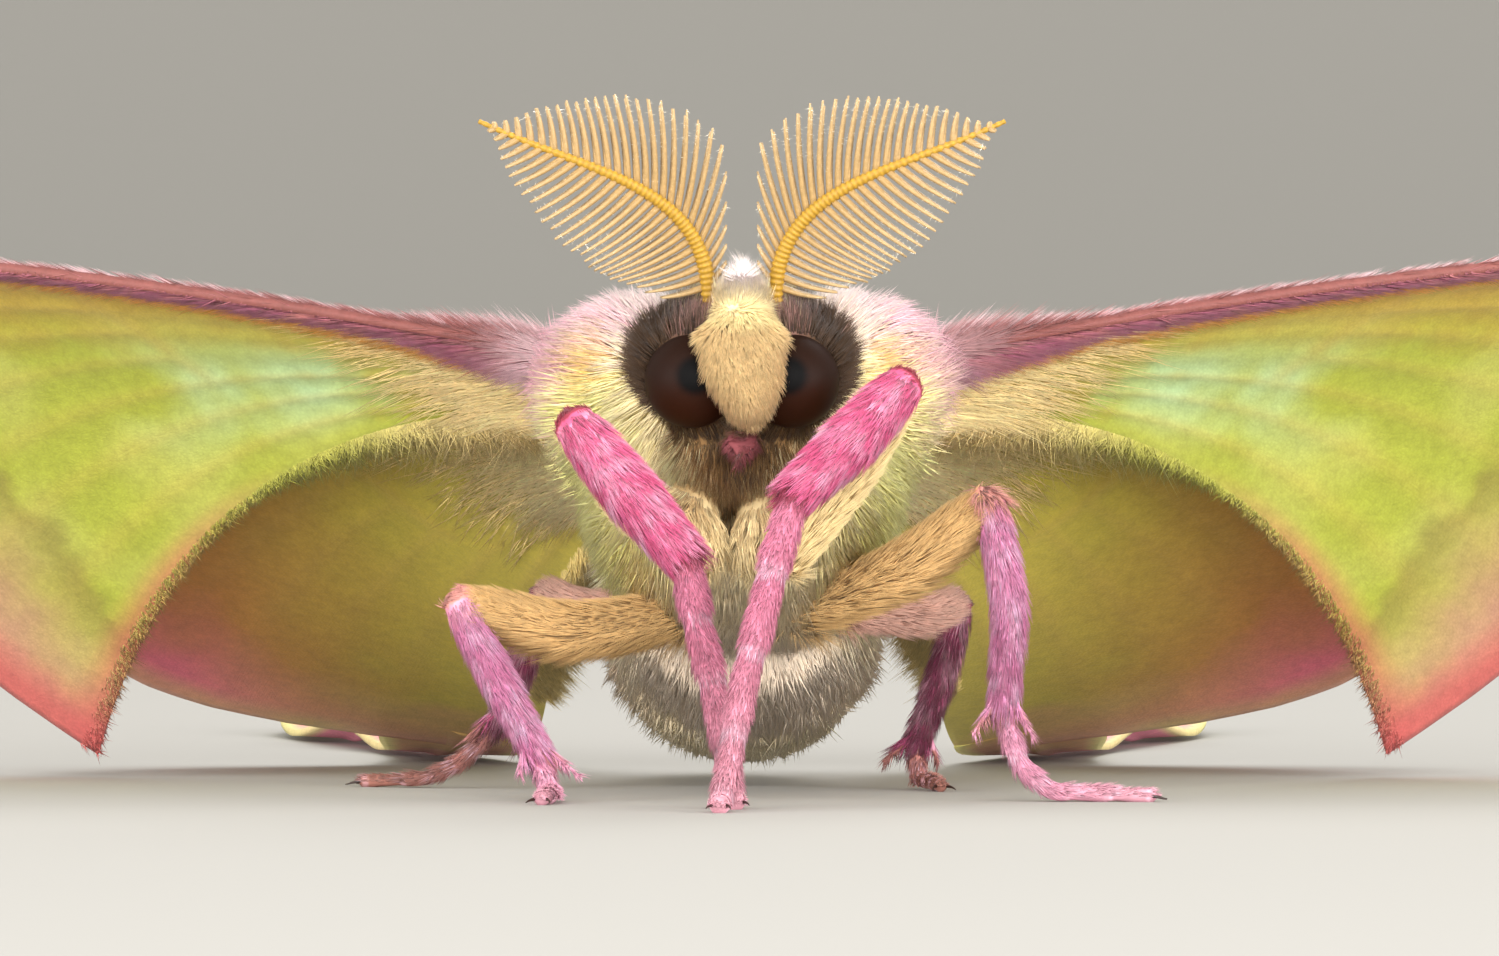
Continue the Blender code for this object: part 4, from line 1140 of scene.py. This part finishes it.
def fore_marking(u, t, p, upper_face, vein):
    """The forewing's colours. Vein is how high the veins stand, from 0 to 1."""
    cloud, fine = mottle(p, 3.4), mottle(p, 0.9, 5.0)
    line = 0.83 + 0.05 * np.sin(7.0 * t) + 0.012 * fine
    colour = layered(
        np.tile(linear(LIME), (len(u), 1)),
        (LIME_PALE, 0.7 * near(-cloud, -0.1, 0.9)),
        (AQUA, 0.7 * near(-cloud - 0.2 * fine, -0.05, 1.0) * near(-u, -0.2, 0.12)
         * near(u, 0.52, 0.18) * near(-t, -0.5, 0.22) * near(t, 0.86, 0.2)),
        (AMBER, 0.85 * near(u + 0.05 * fine, 0.2, 0.24)),
        (AMBER, 0.75 * near(t + 0.03 * fine, 0.3, 0.34) * near(u, 0.8, 0.2)),
        (RIM_PINK, 0.95 * near(-u, -line - 0.06, 0.14)),
        (DUSK, 0.6 * np.exp(-((u - line) / 0.022) ** 2)),
        (RIM_CORAL, 0.85 * near(-u, -0.955, 0.05)),
        (RIM_CORAL, 0.75 * near(-t, -0.965, 0.05) * near(-u, -0.6, 0.2)),
        (LIME_PALE, 0.4 * near(-t, -0.975, 0.03) * near(u, 0.65, 0.2)),
        (VEIN_TAN, 0.25 * vein * near(u, 0.85, 0.2)),
        (BAND_EDGE, near(t, 0.045, 0.02)))
    if upper_face:
        colour = eyespot(colour, u, t, (0.52, 0.3), 0.05, 1.2)
    return colour * (1.0 + 0.05 * fine[:, None])


def hind_marking(u, t, p, upper_face, vein):
    """The hindwing's colours, given as the forewing's are."""
    cloud, fine = mottle(p, 2.6, 3.0), mottle(p, 0.8, 9.0)
    front = near(t + 0.1 * cloud, 0.6, 0.4)
    before_tail = near(-u - 0.05 * cloud, -0.93, 0.14) * near(-t, -0.7, 0.2)
    colour = layered(
        np.tile(linear(HIND_OLIVE), (len(u), 1)),
        # Painted shadow of the forewing: brown under the hindwing's front edge, strong on the lower
        # face and faint on the upper one.
        (HIND_SHADOW_BROWN, (0.15 if upper_face else 0.8) * near(t + 0.05 * cloud, 0.26, 0.3)),
        (HIND_ROSE, 0.85 * near(-u - 0.06 * cloud, -0.66, 0.34) * front),
        (HIND_PINK, 0.9 * near(-u - 0.05 * cloud, -0.9, 0.16) * front),
        (TAIL_PINK, 0.6 * before_tail),
        (LIME_PALE, 0.4 * near(-u, -0.97, 0.03) * near(t, 0.7, 0.1)),
        (VEIN_TAN, 0.3 * vein * near(u, 0.8, 0.2)))
    if upper_face:
        colour = eyespot(colour, u, t, (0.5, 0.42), 0.06, 1.0)
    return colour * (1.0 + 0.06 * fine[:, None])


def wing_finish(name):
    """Powder of overlapping scales: a faint cell pattern and ripple, satin, barely shiny."""
    made, tree, shader = principled(name, Roughness=0.6, Sheen_Weight=0.08,
                                    Specular_IOR_Level=0.3)
    place = add(tree, "ShaderNodeTexCoord").outputs["Object"]
    marking = add(tree, "ShaderNodeAttribute", attribute_name="marking")
    scales = add(tree, "ShaderNodeTexVoronoi", {"Vector": place, "Scale": 1.0 / (0.11 * MM)})
    powder = add(tree, "ShaderNodeTexNoise", {"Vector": place, "Scale": 1.0 / (0.35 * MM),
                                              "Detail": 4.0})
    light = add(tree, "ShaderNodeMapRange", {"Value": powder.outputs["Fac"], "From Min": 0.3,
                                             "From Max": 0.7, "To Min": 0.9, "To Max": 1.07})
    cell = add(tree, "ShaderNodeMapRange", {"Value": scales.outputs["Distance"], "From Min": 0.0,
                                            "From Max": 0.8, "To Min": 1.04, "To Max": 0.9})
    both = add(tree, "ShaderNodeMath", {0: light.outputs["Result"], 1: cell.outputs["Result"]},
               operation="MULTIPLY")
    mixed = add(tree, "ShaderNodeVectorMath", {0: marking.outputs["Color"],
                                               "Scale": both.outputs["Value"]}, operation="SCALE")
    tree.links.new(mixed.outputs["Vector"], shader.inputs["Base Color"])
    sheet = add(tree, "ShaderNodeUVMap", uv_map="Sheet").outputs["UV"]
    combed = add(tree, "ShaderNodeMapping", {"Vector": sheet, "Scale": (30.0, 420.0, 1.0)})
    hairs = add(tree, "ShaderNodeTexNoise", {"Vector": combed.outputs["Vector"], "Scale": 1.0,
                                             "Detail": 3.0, "Distortion": 0.6})
    height = add(tree, "ShaderNodeMath", {0: hairs.outputs["Fac"], 1: scales.outputs["Distance"]},
                 operation="SUBTRACT")
    relief = add(tree, "ShaderNodeBump", {"Height": height.outputs["Value"], "Strength": 0.3,
                                          "Distance": 0.04 * MM})
    tree.links.new(relief.outputs["Normal"], shader.inputs["Normal"])
    return made


wing_powder = wing_finish("powdered_wing_scales")
WINGS = {"forewing": (FORE, fore_marking, 134, 76), "hindwing": (HIND, hind_marking, 110, 66)}
for side, sign in SIDES:
    for kind, (wing, marking, columns, rows) in WINGS.items():
        sheet = wing_mesh(f"{kind}_sheet_{side}", wing, sign, marking, wing_powder, columns, rows)
        settle(sheet, kind + "s", f"{kind}_{side}")
        print(sheet.name, len(sheet.data.polygons), "triangles")

# %% [markdown]
# ## Tails
#
# Each hindwing runs out into a long ribbon that trails on the floor. It starts as part of the
# wing's own surface, narrows, swings and widens again into a paddle near its end.

# %% Tail ribbons
TAIL_START = 0.72
TAIL_LINE = ((10.8, 32.6, 0.3), (10.5, 46.0, 0.3), (19.0, 62.0, 0.3), (16.0, 81.0, 0.3))
TAIL_WIDTHS = (7.0, 4.6, 3.7, 3.2, 3.0, 2.9, 2.9, 3.0, 3.3, 3.8, 4.2, 4.2, 3.4, 0.6)
TAIL_SHEET = 0.24
TAIL_WAVE = 0.35


def share_of_wing(s):
    """How far along the hindwing the first stretch of the tail lies, while it is part of it."""
    return 0.93 + 0.5 * s


def tail_places(s, across):
    """Places on a tail, s along it and across from its outer to its inner edge."""
    on_wing = fan(HIND, share_of_wing(s), TAIL_START + (1.0 - TAIL_START) * across)
    spot = bezier(TAIL_LINE, s)
    ahead = unit(bezier(TAIL_LINE, s + 0.01) - bezier(TAIL_LINE, s - 0.01))
    sideways = np.stack((ahead[..., 1], -ahead[..., 0], 0.0 * s), -1)
    width = np.interp(s, np.linspace(0.0, 1.0, len(TAIL_WIDTHS)), TAIL_WIDTHS)
    ribbon = spot + sideways * (0.5 * width * (1.0 - 2.0 * across))[..., None]
    ribbon[..., 2] += TAIL_WAVE * (1.0 + np.sin(16.0 * s + 3.0 * across)) * np.minimum(3 * s, 1.0)
    share = np.clip((s - 0.015) / 0.1, 0.0, 1.0)[..., None]
    share = share * share * (3.0 - 2.0 * share)
    return on_wing * (1.0 - share) + ribbon * share


def tail_marking(s, t, p, upper_face, vein):
    """The hindwing's own colours where the tail lies on it, then pink, then yellow-green."""
    fine = mottle(p, 0.8, 4.0)
    colour = layered(
        hind_marking(share_of_wing(s), TAIL_START + (1.0 - TAIL_START) * t, p, upper_face,
                     0.0 * vein),
        (TAIL_PINK, near(-s - 0.02 * fine, -0.2, 0.16)),
        (TAIL_GREEN, 0.9 * near(-s - 0.03 * fine, -0.72, 0.2)),
        (TAIL_GREEN, 0.75 * near(-np.abs(t - 0.5), -0.4, 0.08)))
    return colour * (1.0 + 0.05 * fine[:, None])


for side, sign in SIDES:
    s, t = sheet_grid(200, 21)
    places = tail_places(s, t)
    rib = np.exp(-((t - 0.5) / 0.06) ** 2)
    tail = closed_sheet("tail_sheet_" + side, places, sheet_normal(places),
                        0.5 * TAIL_SHEET + 0.1 * rib, sign,
                        both_faces(tail_marking, s, t, places, rib), (s, t), wing_powder)
    settle(tail, "tails", "tail_" + side)
    print(tail.name, len(tail.data.polygons), "triangles")

# %% [markdown]
# ## Hair on the wings
#
# The front edge of the forewing wears a band of fur: white over the edge, dark stripes and rose
# on it, mauve below, and amber where it thins out. Long soft hair covers the wings' roots, and a
# fringe edges the forewing's rear and the hindwing's inner side. On a wing's unwrap a root's
# place is its share of the way along and across, and the furred edge is rolled out flat.

# %% Roots along a wing
def wing_roots(wing, sign, count, along, across, faces, rng):
    """Random roots on a wing's sheet, from and to these shares of the way along and across it.
    Faces is 1 for its upper face, -1 for its lower one. The ways ahead and across come with
    them, and each root's own shares."""
    u = rng.uniform(*along, count)
    t = rng.uniform(*across, count)
    spot = fan(wing, u, t)
    ahead = fan(wing, u + 0.01, t) - fan(wing, u - 0.01, t)
    over = fan(wing, u, t + 0.01) - fan(wing, u, t - 0.01)
    face = rng.choice(faces, count)[:, None]
    normal = unit(np.cross(ahead, over)) * face
    spot = spot + normal * (0.5 * SHEET + face * ripple(u, t)[:, None])
    flip = np.array((sign, 1.0, 1.0))
    return ((spot * flip, normal * flip, np.column_stack((u, t))), unit(ahead) * flip,
            unit(over) * flip, u, t)


def chosen_only(grown, chosen):
    """The roots, ways and shares of wing_roots that are chosen."""
    return (keep(grown[0], chosen), *(part[chosen] for part in grown[1:]))


def outside_body(p):
    """Where a place is clear of the thorax and shoulders under their coat."""
    clear = np.ones(len(p), bool)
    c, s = math.cos(BODY_PITCH), math.sin(BODY_PITCH)
    for centre, radii in (THORAX, SHOULDER):
        q = np.column_stack((np.abs(p[:, 0]), p[:, 1:])) - centre
        q = np.column_stack((q[:, 0], c * q[:, 1] - s * q[:, 2], s * q[:, 1] + c * q[:, 2]))
        clear &= ((q / (np.asarray(radii) + 0.1)) ** 2).sum(1) > 1.0
    return clear


# %% The furred front edge
BAND_WIDTH = (1.75, 0.8)  # of the furred front edge, at its root and its tip
EDGE_SHARE = 0.07  # of the band's roots that stand on the sheet's own front edge
STRIPES = (-0.25, -0.12, 0.02)  # of dark scales along the furred edge
STRIPE_WIDTH = 0.045


def band_marking(u, band, p):
    """Colours of the furred front edge: band runs from -1 over the edge, 0, to 1 below it."""
    fine, patch = mottle(p, 0.5, 2.0), mottle(p, 1.5, 4.0)
    stripe = sum(np.exp(-((band - middle) / STRIPE_WIDTH) ** 2) for middle in STRIPES)
    stripe = 0.75 * stripe * near(-u, -0.14, 0.15) * near(-patch, 0.5, 1.4)
    stripe += 0.75 * near(-band, 0.2, 0.2) * near(-u, -0.6, 0.3)
    return layered(
        np.tile(linear(BAND_ROSE), (len(u), 1)),
        (BAND_MAUVE, near(-band, -0.05, 0.2) * near(-fine, 0.6, 1.2)),
        (BAND_EDGE, 0.8 * near(np.abs(band), 0.14, 0.1) * near(-fine, 0.4, 1.2)),
        (BAND_DARK, np.clip(stripe, 0.0, 0.88)),
        (BAND_WHITE, near(band + 0.05 * fine, -0.38, 0.1) * 0.85),
        (AMBER_HAIR, 0.95 * near(-band - 0.08 * fine, -0.66, 0.14)),
        (BAND_WHITE, 0.6 * near(u + 0.02 * patch, 0.08, 0.06)))


def band_roots(sign, rng):
    """Roots over the forewing's front edge, with how far round the edge each one lies. On the
    unwrap the furred strip is rolled out flat, so what is over the edge stays off what is below."""
    grown = wing_roots(FORE, sign, 52000, (0.03, 1.0), (0.0, 0.25), (1, -1), rng)
    (places, normals, flat), ahead, over, u, t = grown
    spread = np.linalg.norm(fan(FORE, u, 0 * u + 1.0) - fan(FORE, u, 0 * u), axis=1)
    below = normals[:, 2] < 0.0
    turn = np.where(below, 1.0, -1.0)
    width = BAND_WIDTH[0] + (BAND_WIDTH[1] - BAND_WIDTH[0]) * np.minimum(u / 0.6, 1.0)
    band = t * spread / (width * np.where(below, 1.0, 0.5)) * turn
    normals[:] = unit(normals - over * near(np.abs(band), 0.06, 0.12)[:, None] * 3.0)
    edge = rng.random(len(u)) < EDGE_SHARE
    slide = rng.uniform(0.0, 1.0, edge.sum())
    level = -turn[edge] * slide * (0.5 * SHEET + VEIN_RAISE)
    rise = ripple(u[edge], 0.0) + level
    lift = unit(np.cross(ahead, over) * (sign, sign, sign))[edge]
    places[edge] = fan(FORE, u[edge], 0.0 * u[edge]) * (sign, 1.0, 1.0) + lift * rise[:, None]
    normals[edge] = unit(lift * level[:, None] - over[edge])
    band[edge] = 0.14 * slide * turn[edge]
    flat[:, 1] = 0.5 + 0.48 * band
    chosen = (np.abs(band) < 1.0) & outside_body(places)
    return (*chosen_only(grown, chosen), band[chosen])


# %% Grow the hair on the wings
def root_hair(name, slot, wing, sign, count, along, across, thins, rng, marking, cream, sweep,
              **sizes):
    """Long soft hair on a wing's root, fewer towards the wing: thins is where half is left, and
    how softly. Cream is its share at each u, sweep how far the hair leans across."""
    grown = wing_roots(wing, sign, count, along, across, (-1, 1), rng)
    chosen = (rng.random(count) < near(grown[3], *thins)) & outside_body(grown[0][0])
    roots, ahead, over, u, t = chosen_only(grown, chosen)
    colour = layered(marking(u, t, roots[0], False, 0 * u), (HAIR_CREAM, cream(u)))
    tufts(name, slot, roots, ahead + sweep * over, colour, rng, width=0.055, stretches=1,
          clump=0.3, sink=0.04, painted_root_shade=1.0, tip_pale_and_painted_light=1.15, **sizes)


for side, sign in SIDES:
    roots, ahead, over, u, t, band = band_roots(sign, rng)
    root_end = near(u, 0.13, 0.1)
    tufts("costa_coat_" + side, "forewings", roots, ahead + over * (0.35 * band)[:, None],
          band_marking(u, band, roots[0]), rng, length=1.2 - 0.4 * u + 0.9 * root_end,
          width=0.07, lift=0.34 + 0.25 * root_end, stretches=1, clump=0.3, clumps=0.06,
          sink=0.04, droop=0.2)
    root_hair("forewing_root_hair_" + side, "forewings", FORE, sign, 11000, (0.03, 0.34),
              (0.05, 1.0), (0.16, 0.22), rng, fore_marking, lambda u: 0.9 * near(u, 0.26, 0.2),
              0.35, length=2.3, lift=0.3)
    roots, ahead, over, u, t = wing_roots(FORE, sign, 6500, (0.1, 1.0), (0.975, 1.0), (-1, 1), rng)
    colour = layered(fore_marking(u, 0.97 * t, roots[0], False, 0 * u),
                     (HAIR_LIME, 0.9 * near(u, 0.54, 0.16)), (HAIR_CREAM, 0.9 * near(u, 0.3, 0.24)))
    long = (0.35 + 1.5 * near(u, 0.42, 0.3)) * rng.uniform(0.2, 1.3, len(u))
    tufts("forewing_fringe_" + side, "forewings", roots, over * (1, 1, 1.6) + 0.6 * ahead, colour,
          rng, length=long, width=0.045, lift=rng.uniform(0.0, 0.5, len(u)), stretches=1,
          clump=0.08, sink=0.04, wave=0.4, painted_root_shade=0.95, tip_pale_and_painted_light=1.1)
    root_hair("hindwing_root_hair_" + side, "hindwings", HIND, sign, 12000, (0.05, 0.5),
              (0.0, 0.8), (0.24, 0.3), rng, hind_marking,
              lambda u: 0.6 + 0.4 * near(u, 0.3, 0.3), 0.15, length=2.4, lift=0.24)
    roots, ahead, over, u, t = wing_roots(HIND, sign, 7000, (0.04, 0.72), (0.93, 1.0), (-1, 1), rng)
    tufts("hindwing_inner_hair_" + side, "hindwings", roots, over + 0.7 * ahead,
          layered(hind_marking(u, t, roots[0], False, 0 * u), (HAIR_CREAM, 0.55 + 0 * u)), rng,
          length=2.6 * near(u, 0.6, 0.5) + 0.5, width=0.07, lift=0.2, stretches=1, clump=0.4,
          sink=0.04)

# %% [markdown]
# ## Legs
#
# A moth's leg is a chain of stiff tubes: thigh, shin with a pair of spurs, and a foot of five
# joints that flare like cups and end in two claws. All of it but the claws is clad in scales
# and hair. The tubes are melted into one skin for each leg, because the coat hides the joints,
# and the scales then lie along it towards the foot.

# %% Places and sizes of the legs
LEGS = {  # thigh, then shin and foot, each from the end of the one before
    "fore_left": (((1.3, -7.7, 7.6), (3.3, -8.6, 10.3), (5.2, -9.5, 13.4)),
                  ((3.5, -11.2, 11.6), (1.7, -12.5, 9.9)),
                  ((1.05, -13.4, 7.8), (0.5, -14.2, 5.6), (0.0, -14.8, 3.7), (-0.38, -15.4, 1.5),
                   (-0.63, -16.2, 0.25), (-0.7, -17.2, 0.2))),
    "fore_right": (((-1.3, -7.7, 7.6), (-3.5, -8.6, 9.5), (-5.4, -9.5, 12.2)),
                   ((-3.6, -10.9, 10.0), (-1.8, -12.0, 7.9)),
                   ((-1.4, -12.4, 5.9), (-0.95, -12.6, 4.0), (-0.5, -12.8, 1.8),
                    (-0.3, -13.4, 0.25), (-0.2, -14.2, 0.2))),
    "mid_left": (((1.8, -1.0, 6.0), (5.2, -4.2, 7.4), (8.0, -5.5, 9.7)),
                 ((8.65, -6.3, 6.4), (8.4, -6.5, 2.8)),
                 ((8.9, -6.8, 1.2), (9.9, -7.0, 0.3), (11.6, -7.1, 0.25), (13.2, -7.2, 0.2))),
    "mid_right": (((-1.8, -1.0, 6.0), (-5.6, -3.8, 5.4), (-9.2, -5.0, 6.4)),
                  ((-7.9, -5.8, 3.9), (-6.5, -6.5, 1.4)),
                  ((-6.2, -7.2, 0.35), (-6.1, -8.8, 0.25), (-6.4, -10.2, 0.2))),
    "hind_left": (((3.4, 1.0, 6.0), (5.8, 1.8, 5.8), (7.2, 2.7, 6.3)),
                  ((6.7, 4.0, 4.0), (5.8, 5.6, 1.4)),
                  ((5.9, 5.2, 0.35), (6.3, 3.8, 0.25), (6.6, 2.4, 0.2))),
    "hind_right": (((-3.4, 1.0, 6.0), (-5.2, 1.9, 6.0), (-6.6, 2.9, 6.6)),
                   ((-7.3, 3.9, 4.4), (-8.1, 5.0, 2.2)),
                   ((-9.4, 5.8, 0.9), (-10.6, 6.4, 0.3), (-12.8, 7.5, 0.2))),
}
THIGH, SHIN, FOOT = 0, 1, 2
LEG_RADII = {"fore": ((0.6, 0.7, 0.6), (0.7, 0.84, 0.66), (0.56, 0.34)),
             "mid": ((0.66, 0.8, 0.58), (0.5, 0.52, 0.42), (0.38, 0.26)),
             "hind": ((0.55, 0.6, 0.48), (0.44, 0.46, 0.38), (0.34, 0.24))}
FOOT_JOINTS = 5
JOINT_STEPS = 5
CUFF = 1.25  # a foot joint's outer end over its inner one
FOOT_REST = 0.75  # how high a foot's middle line lies over the floor, in radii
CLAW_LENGTH, CLAW_RADIUS = 0.6, 0.075
SPUR_LENGTH, SPUR_RADIUS = 1.3, 0.12
LEG_VOXEL = 0.1
LEG_TUFTS = {"fore": 15000, "mid": 12500, "hind": 6000}
CLEAR_OF_FLOOR = 0.16  # no tuft is rooted lower than this
CLAW_LOWEST, SPUR_LOWEST = 0.09, 0.25
LEG_COLOURS = {  # thigh, shin and its shade, foot near the shin and at the claws, joints
    "fore": ("#E6CB94", "#E06690", "#C94C7A", "#D47E98", "#C68C98", "#8C3040"),
    "mid": ("#CBA46C", "#E28CB2", "#CB719E", "#D892AA", "#BE8894", "#C98A80"),
    "hind": ("#D2A290", "#A24468", "#7E3150", "#A0675F", "#8A5A4E", "#7C3A44")}
HAIR_PALE = "#FFD0E0"


def stretches_of(leg):
    """Places along a leg's thigh, shin and foot."""
    thigh, shin, foot = LEGS[leg]
    shin = (thigh[-1], *shin)
    return thigh, shin, (shin[-1], *foot)


def foot_run(places, radii):
    """A foot's middle line and radii: joints that flare towards their outer ends."""
    knots = np.linspace(0.0, len(places) - 1.0, JOINT_STEPS * FOOT_JOINTS + 1)
    line = np.column_stack([np.interp(knots, range(len(places)), np.asarray(places)[:, k])
                            for k in range(3)])
    t = np.linspace(0.0, 1.0, len(line))
    flare = 1.0 + (CUFF - 1.0) * ((t * FOOT_JOINTS) % 1.0)
    flare[-1] = CUFF
    return line, (radii[0] + (radii[1] - radii[0]) * t) * flare / CUFF


def leg_track(leg):
    """Close points along a leg with the way ahead at each, its stretch and the share along it."""
    spots, ahead, stretch, share = [], [], [], []
    for k, places in enumerate(stretches_of(leg)):
        run, _ = smooth_run(places, np.ones(len(places)), 12)
        spots.append(run)
        ahead.append(unit(np.gradient(run, axis=0)))
        stretch.append(np.full(len(run), k))
        share.append(np.linspace(0.0, 1.0, len(run)))
    return [np.concatenate(part) for part in (spots, ahead, stretch, share)]


# %% Markings of the legs
def leg_marking(leg):
    """A function for the colours of a leg's coat, one for the nearest point of its track, and
    the track itself."""
    spots, ahead, stretch, share = leg_track(leg)
    tree = KDTree(len(spots))
    for i, spot in enumerate(spots):
        tree.insert(spot, i)
    tree.balance()
    thigh, shin, shin_shade, foot, foot_end, joint = LEG_COLOURS[leg.split("_")[0]]

    def nearest(p):
        return np.array([tree.find(point)[1] for point in p])

    def marking(p):
        i = nearest(p)
        fine, streak = mottle(p, 0.45, 6.0), mottle(p, 1.1, 8.0)
        along = share[i]
        on_thigh, on_shin, on_foot = (stretch[i] == k for k in (THIGH, SHIN, FOOT))
        knee = on_thigh * near(-along, -0.97, 0.06) + on_shin * near(along, 0.035, 0.03)
        heel = on_shin * near(-along, -0.975, 0.03) + on_foot * near(along, 0.03, 0.03)
        cuff = on_foot * near(-((along * FOOT_JOINTS) % 1.0), -0.88, 0.12)
        colour = layered(
            np.tile(linear(thigh), (len(p), 1)),
            (shin, 1.0 * on_shin),
            (shin_shade, 0.6 * on_shin * near(-streak, -0.1, 1.4)),
            (HAIR_PALE, 0.4 * on_shin * near(-fine, -0.25, 1.0)),
            (foot, 1.0 * on_foot),
            (foot_end, on_foot * near(-along, -0.55, 0.6)),
            (HAIR_PALE, 0.5 * cuff),
            (joint, np.clip(knee + 0.8 * heel, 0.0, 1.0)))
        return colour * (1.0 + 0.08 * fine[:, None])

    return marking, nearest, ahead, stretch, share


# %% Skin, spurs and claws of a leg
def leg_skin(leg, pair):
    """One skin over a leg's three stretches and its spurs, and the foot's middle line."""
    thigh, shin, foot = stretches_of(leg)
    thigh_radii, shin_radii, foot_radii = LEG_RADII[pair]
    bm = bmesh.new()
    rod(bm, thigh, thigh_radii, 14, 6)
    rod(bm, shin, shin_radii, 14, 6)
    line, widths = foot_run(foot, foot_radii)
    line[:, 2] = np.maximum(line[:, 2], widths * FOOT_REST)
    rod(bm, line, widths, 12, 1)
    if pair != "fore":
        end, before = np.asarray(shin[-1]), np.asarray(shin[-2])
        ahead = unit(end - before)
        for turn in (1.0, -1.0):
            out = unit(np.array((turn, -0.5, 0.0)))
            start = end - ahead * 0.6 + out * 0.2
            tip = start + ahead * SPUR_LENGTH + out * 0.9
            tip[2] = max(tip[2], SPUR_LOWEST)
            rod(bm, (start, 0.5 * (start + tip), tip), (SPUR_RADIUS * 1.6, SPUR_RADIUS, 0.07), 8, 3)
    skin = melted("leg_skin_" + leg, bm, LEG_VOXEL, 2)
    unwrap(skin)
    skin.data.materials.append(bare_skin)
    return skin, line


def claws(leg, line):
    """Two curved claws at the end of a foot."""
    tip, way = line[-1], unit(line[-1] - line[-2])
    sideways = unit(np.cross(way, (0.0, 0.0, 1.0)))
    steps = np.linspace(0.0, 1.0, 7)[:, None]
    lines = np.array([tip - 0.15 * way + sideways * turn * (0.08 + 0.3 * np.sin(1.6 * steps))
                      + way * (CLAW_LENGTH * steps) - (0, 0, 0.12) * steps ** 2
                      for turn in (1.0, -1.0)])
    lines[..., 2] = np.maximum(lines[..., 2], CLAW_LOWEST)
    radii = np.tile(CLAW_RADIUS * (1.0 - 0.85 * steps[:, 0]), (2, 1))
    return mesh_from_arrays("claws_" + leg, *swept(lines, radii, np.array((0.0, 0.0, 1.0)), 8),
                            claw_horn)


# %% Coat of a leg
def grow_leg_coat(leg, pair, skin, track, rng):
    """Long hair on the thigh, longest under the middle ones, and ever shorter to the claws."""
    marking, nearest, ahead, stretch, share = track
    roots = draw_roots(skin_arrays(skin), LEG_TUFTS[pair], rng)
    roots = keep(roots, roots[0][:, 2] > CLEAR_OF_FLOOR)
    i = nearest(roots[0])
    on_thigh, on_shin, on_foot = (stretch[i] == k for k in (THIGH, SHIN, FOOT))
    long = np.where(on_thigh, 1.0, np.where(on_shin, 0.95, 0.55))
    if pair == "mid":
        long = long + 0.7 * on_thigh * (roots[1][:, 2] < -0.2)
    long = long * np.where(on_foot & (share[i] > 0.8), 0.6, 1.0)
    long = long * (1.0 - 0.65 * on_thigh * near(-share[i], -0.84, 0.2))

    # Thighs get lighter painted shade at the roots and less lightened tips than shins and feet.
    def by_thigh(there, elsewhere):
        return np.where(on_thigh, there, elsewhere)[:, None, None]

    tufts("leg_coat_" + leg, "feet", roots, ahead[i], marking(roots[0]), rng, length=long,
          width=0.05, lift=0.3 + 0.12 * on_foot, stretches=1, clump=0.4, clumps=0.14, wave=0.1,
          sink=0.03, droop=0.1, painted_root_shade=by_thigh(0.8, 0.55), tip_pale_and_painted_light=by_thigh(1.12, 1.4),
          tone=by_thigh(0.08, 0.18))


claw_horn, _, _ = principled("dark_claw_horn", Base_Color=rgba("#2A1712"), Roughness=0.3)
for leg in LEGS:
    pair = leg.split("_")[0]
    skin, line = leg_skin(leg, pair)
    track = leg_marking(leg)
    paint(skin, track[0])
    settle(skin, "feet", leg + "_femur", leg + "_tibia", leg + "_tarsus")
    grow_leg_coat(leg, pair, skin, track, rng)
    settle(claws(leg, line), "feet")

# %% Write the sizes and finish
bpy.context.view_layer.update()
total = 0
for obj in bpy.data.objects:
    if obj.type == "MESH" and not obj.hide_render:
        obj.data.calc_loop_triangles()
        total += len(obj.data.loop_triangles)
print("triangles in all:", total)
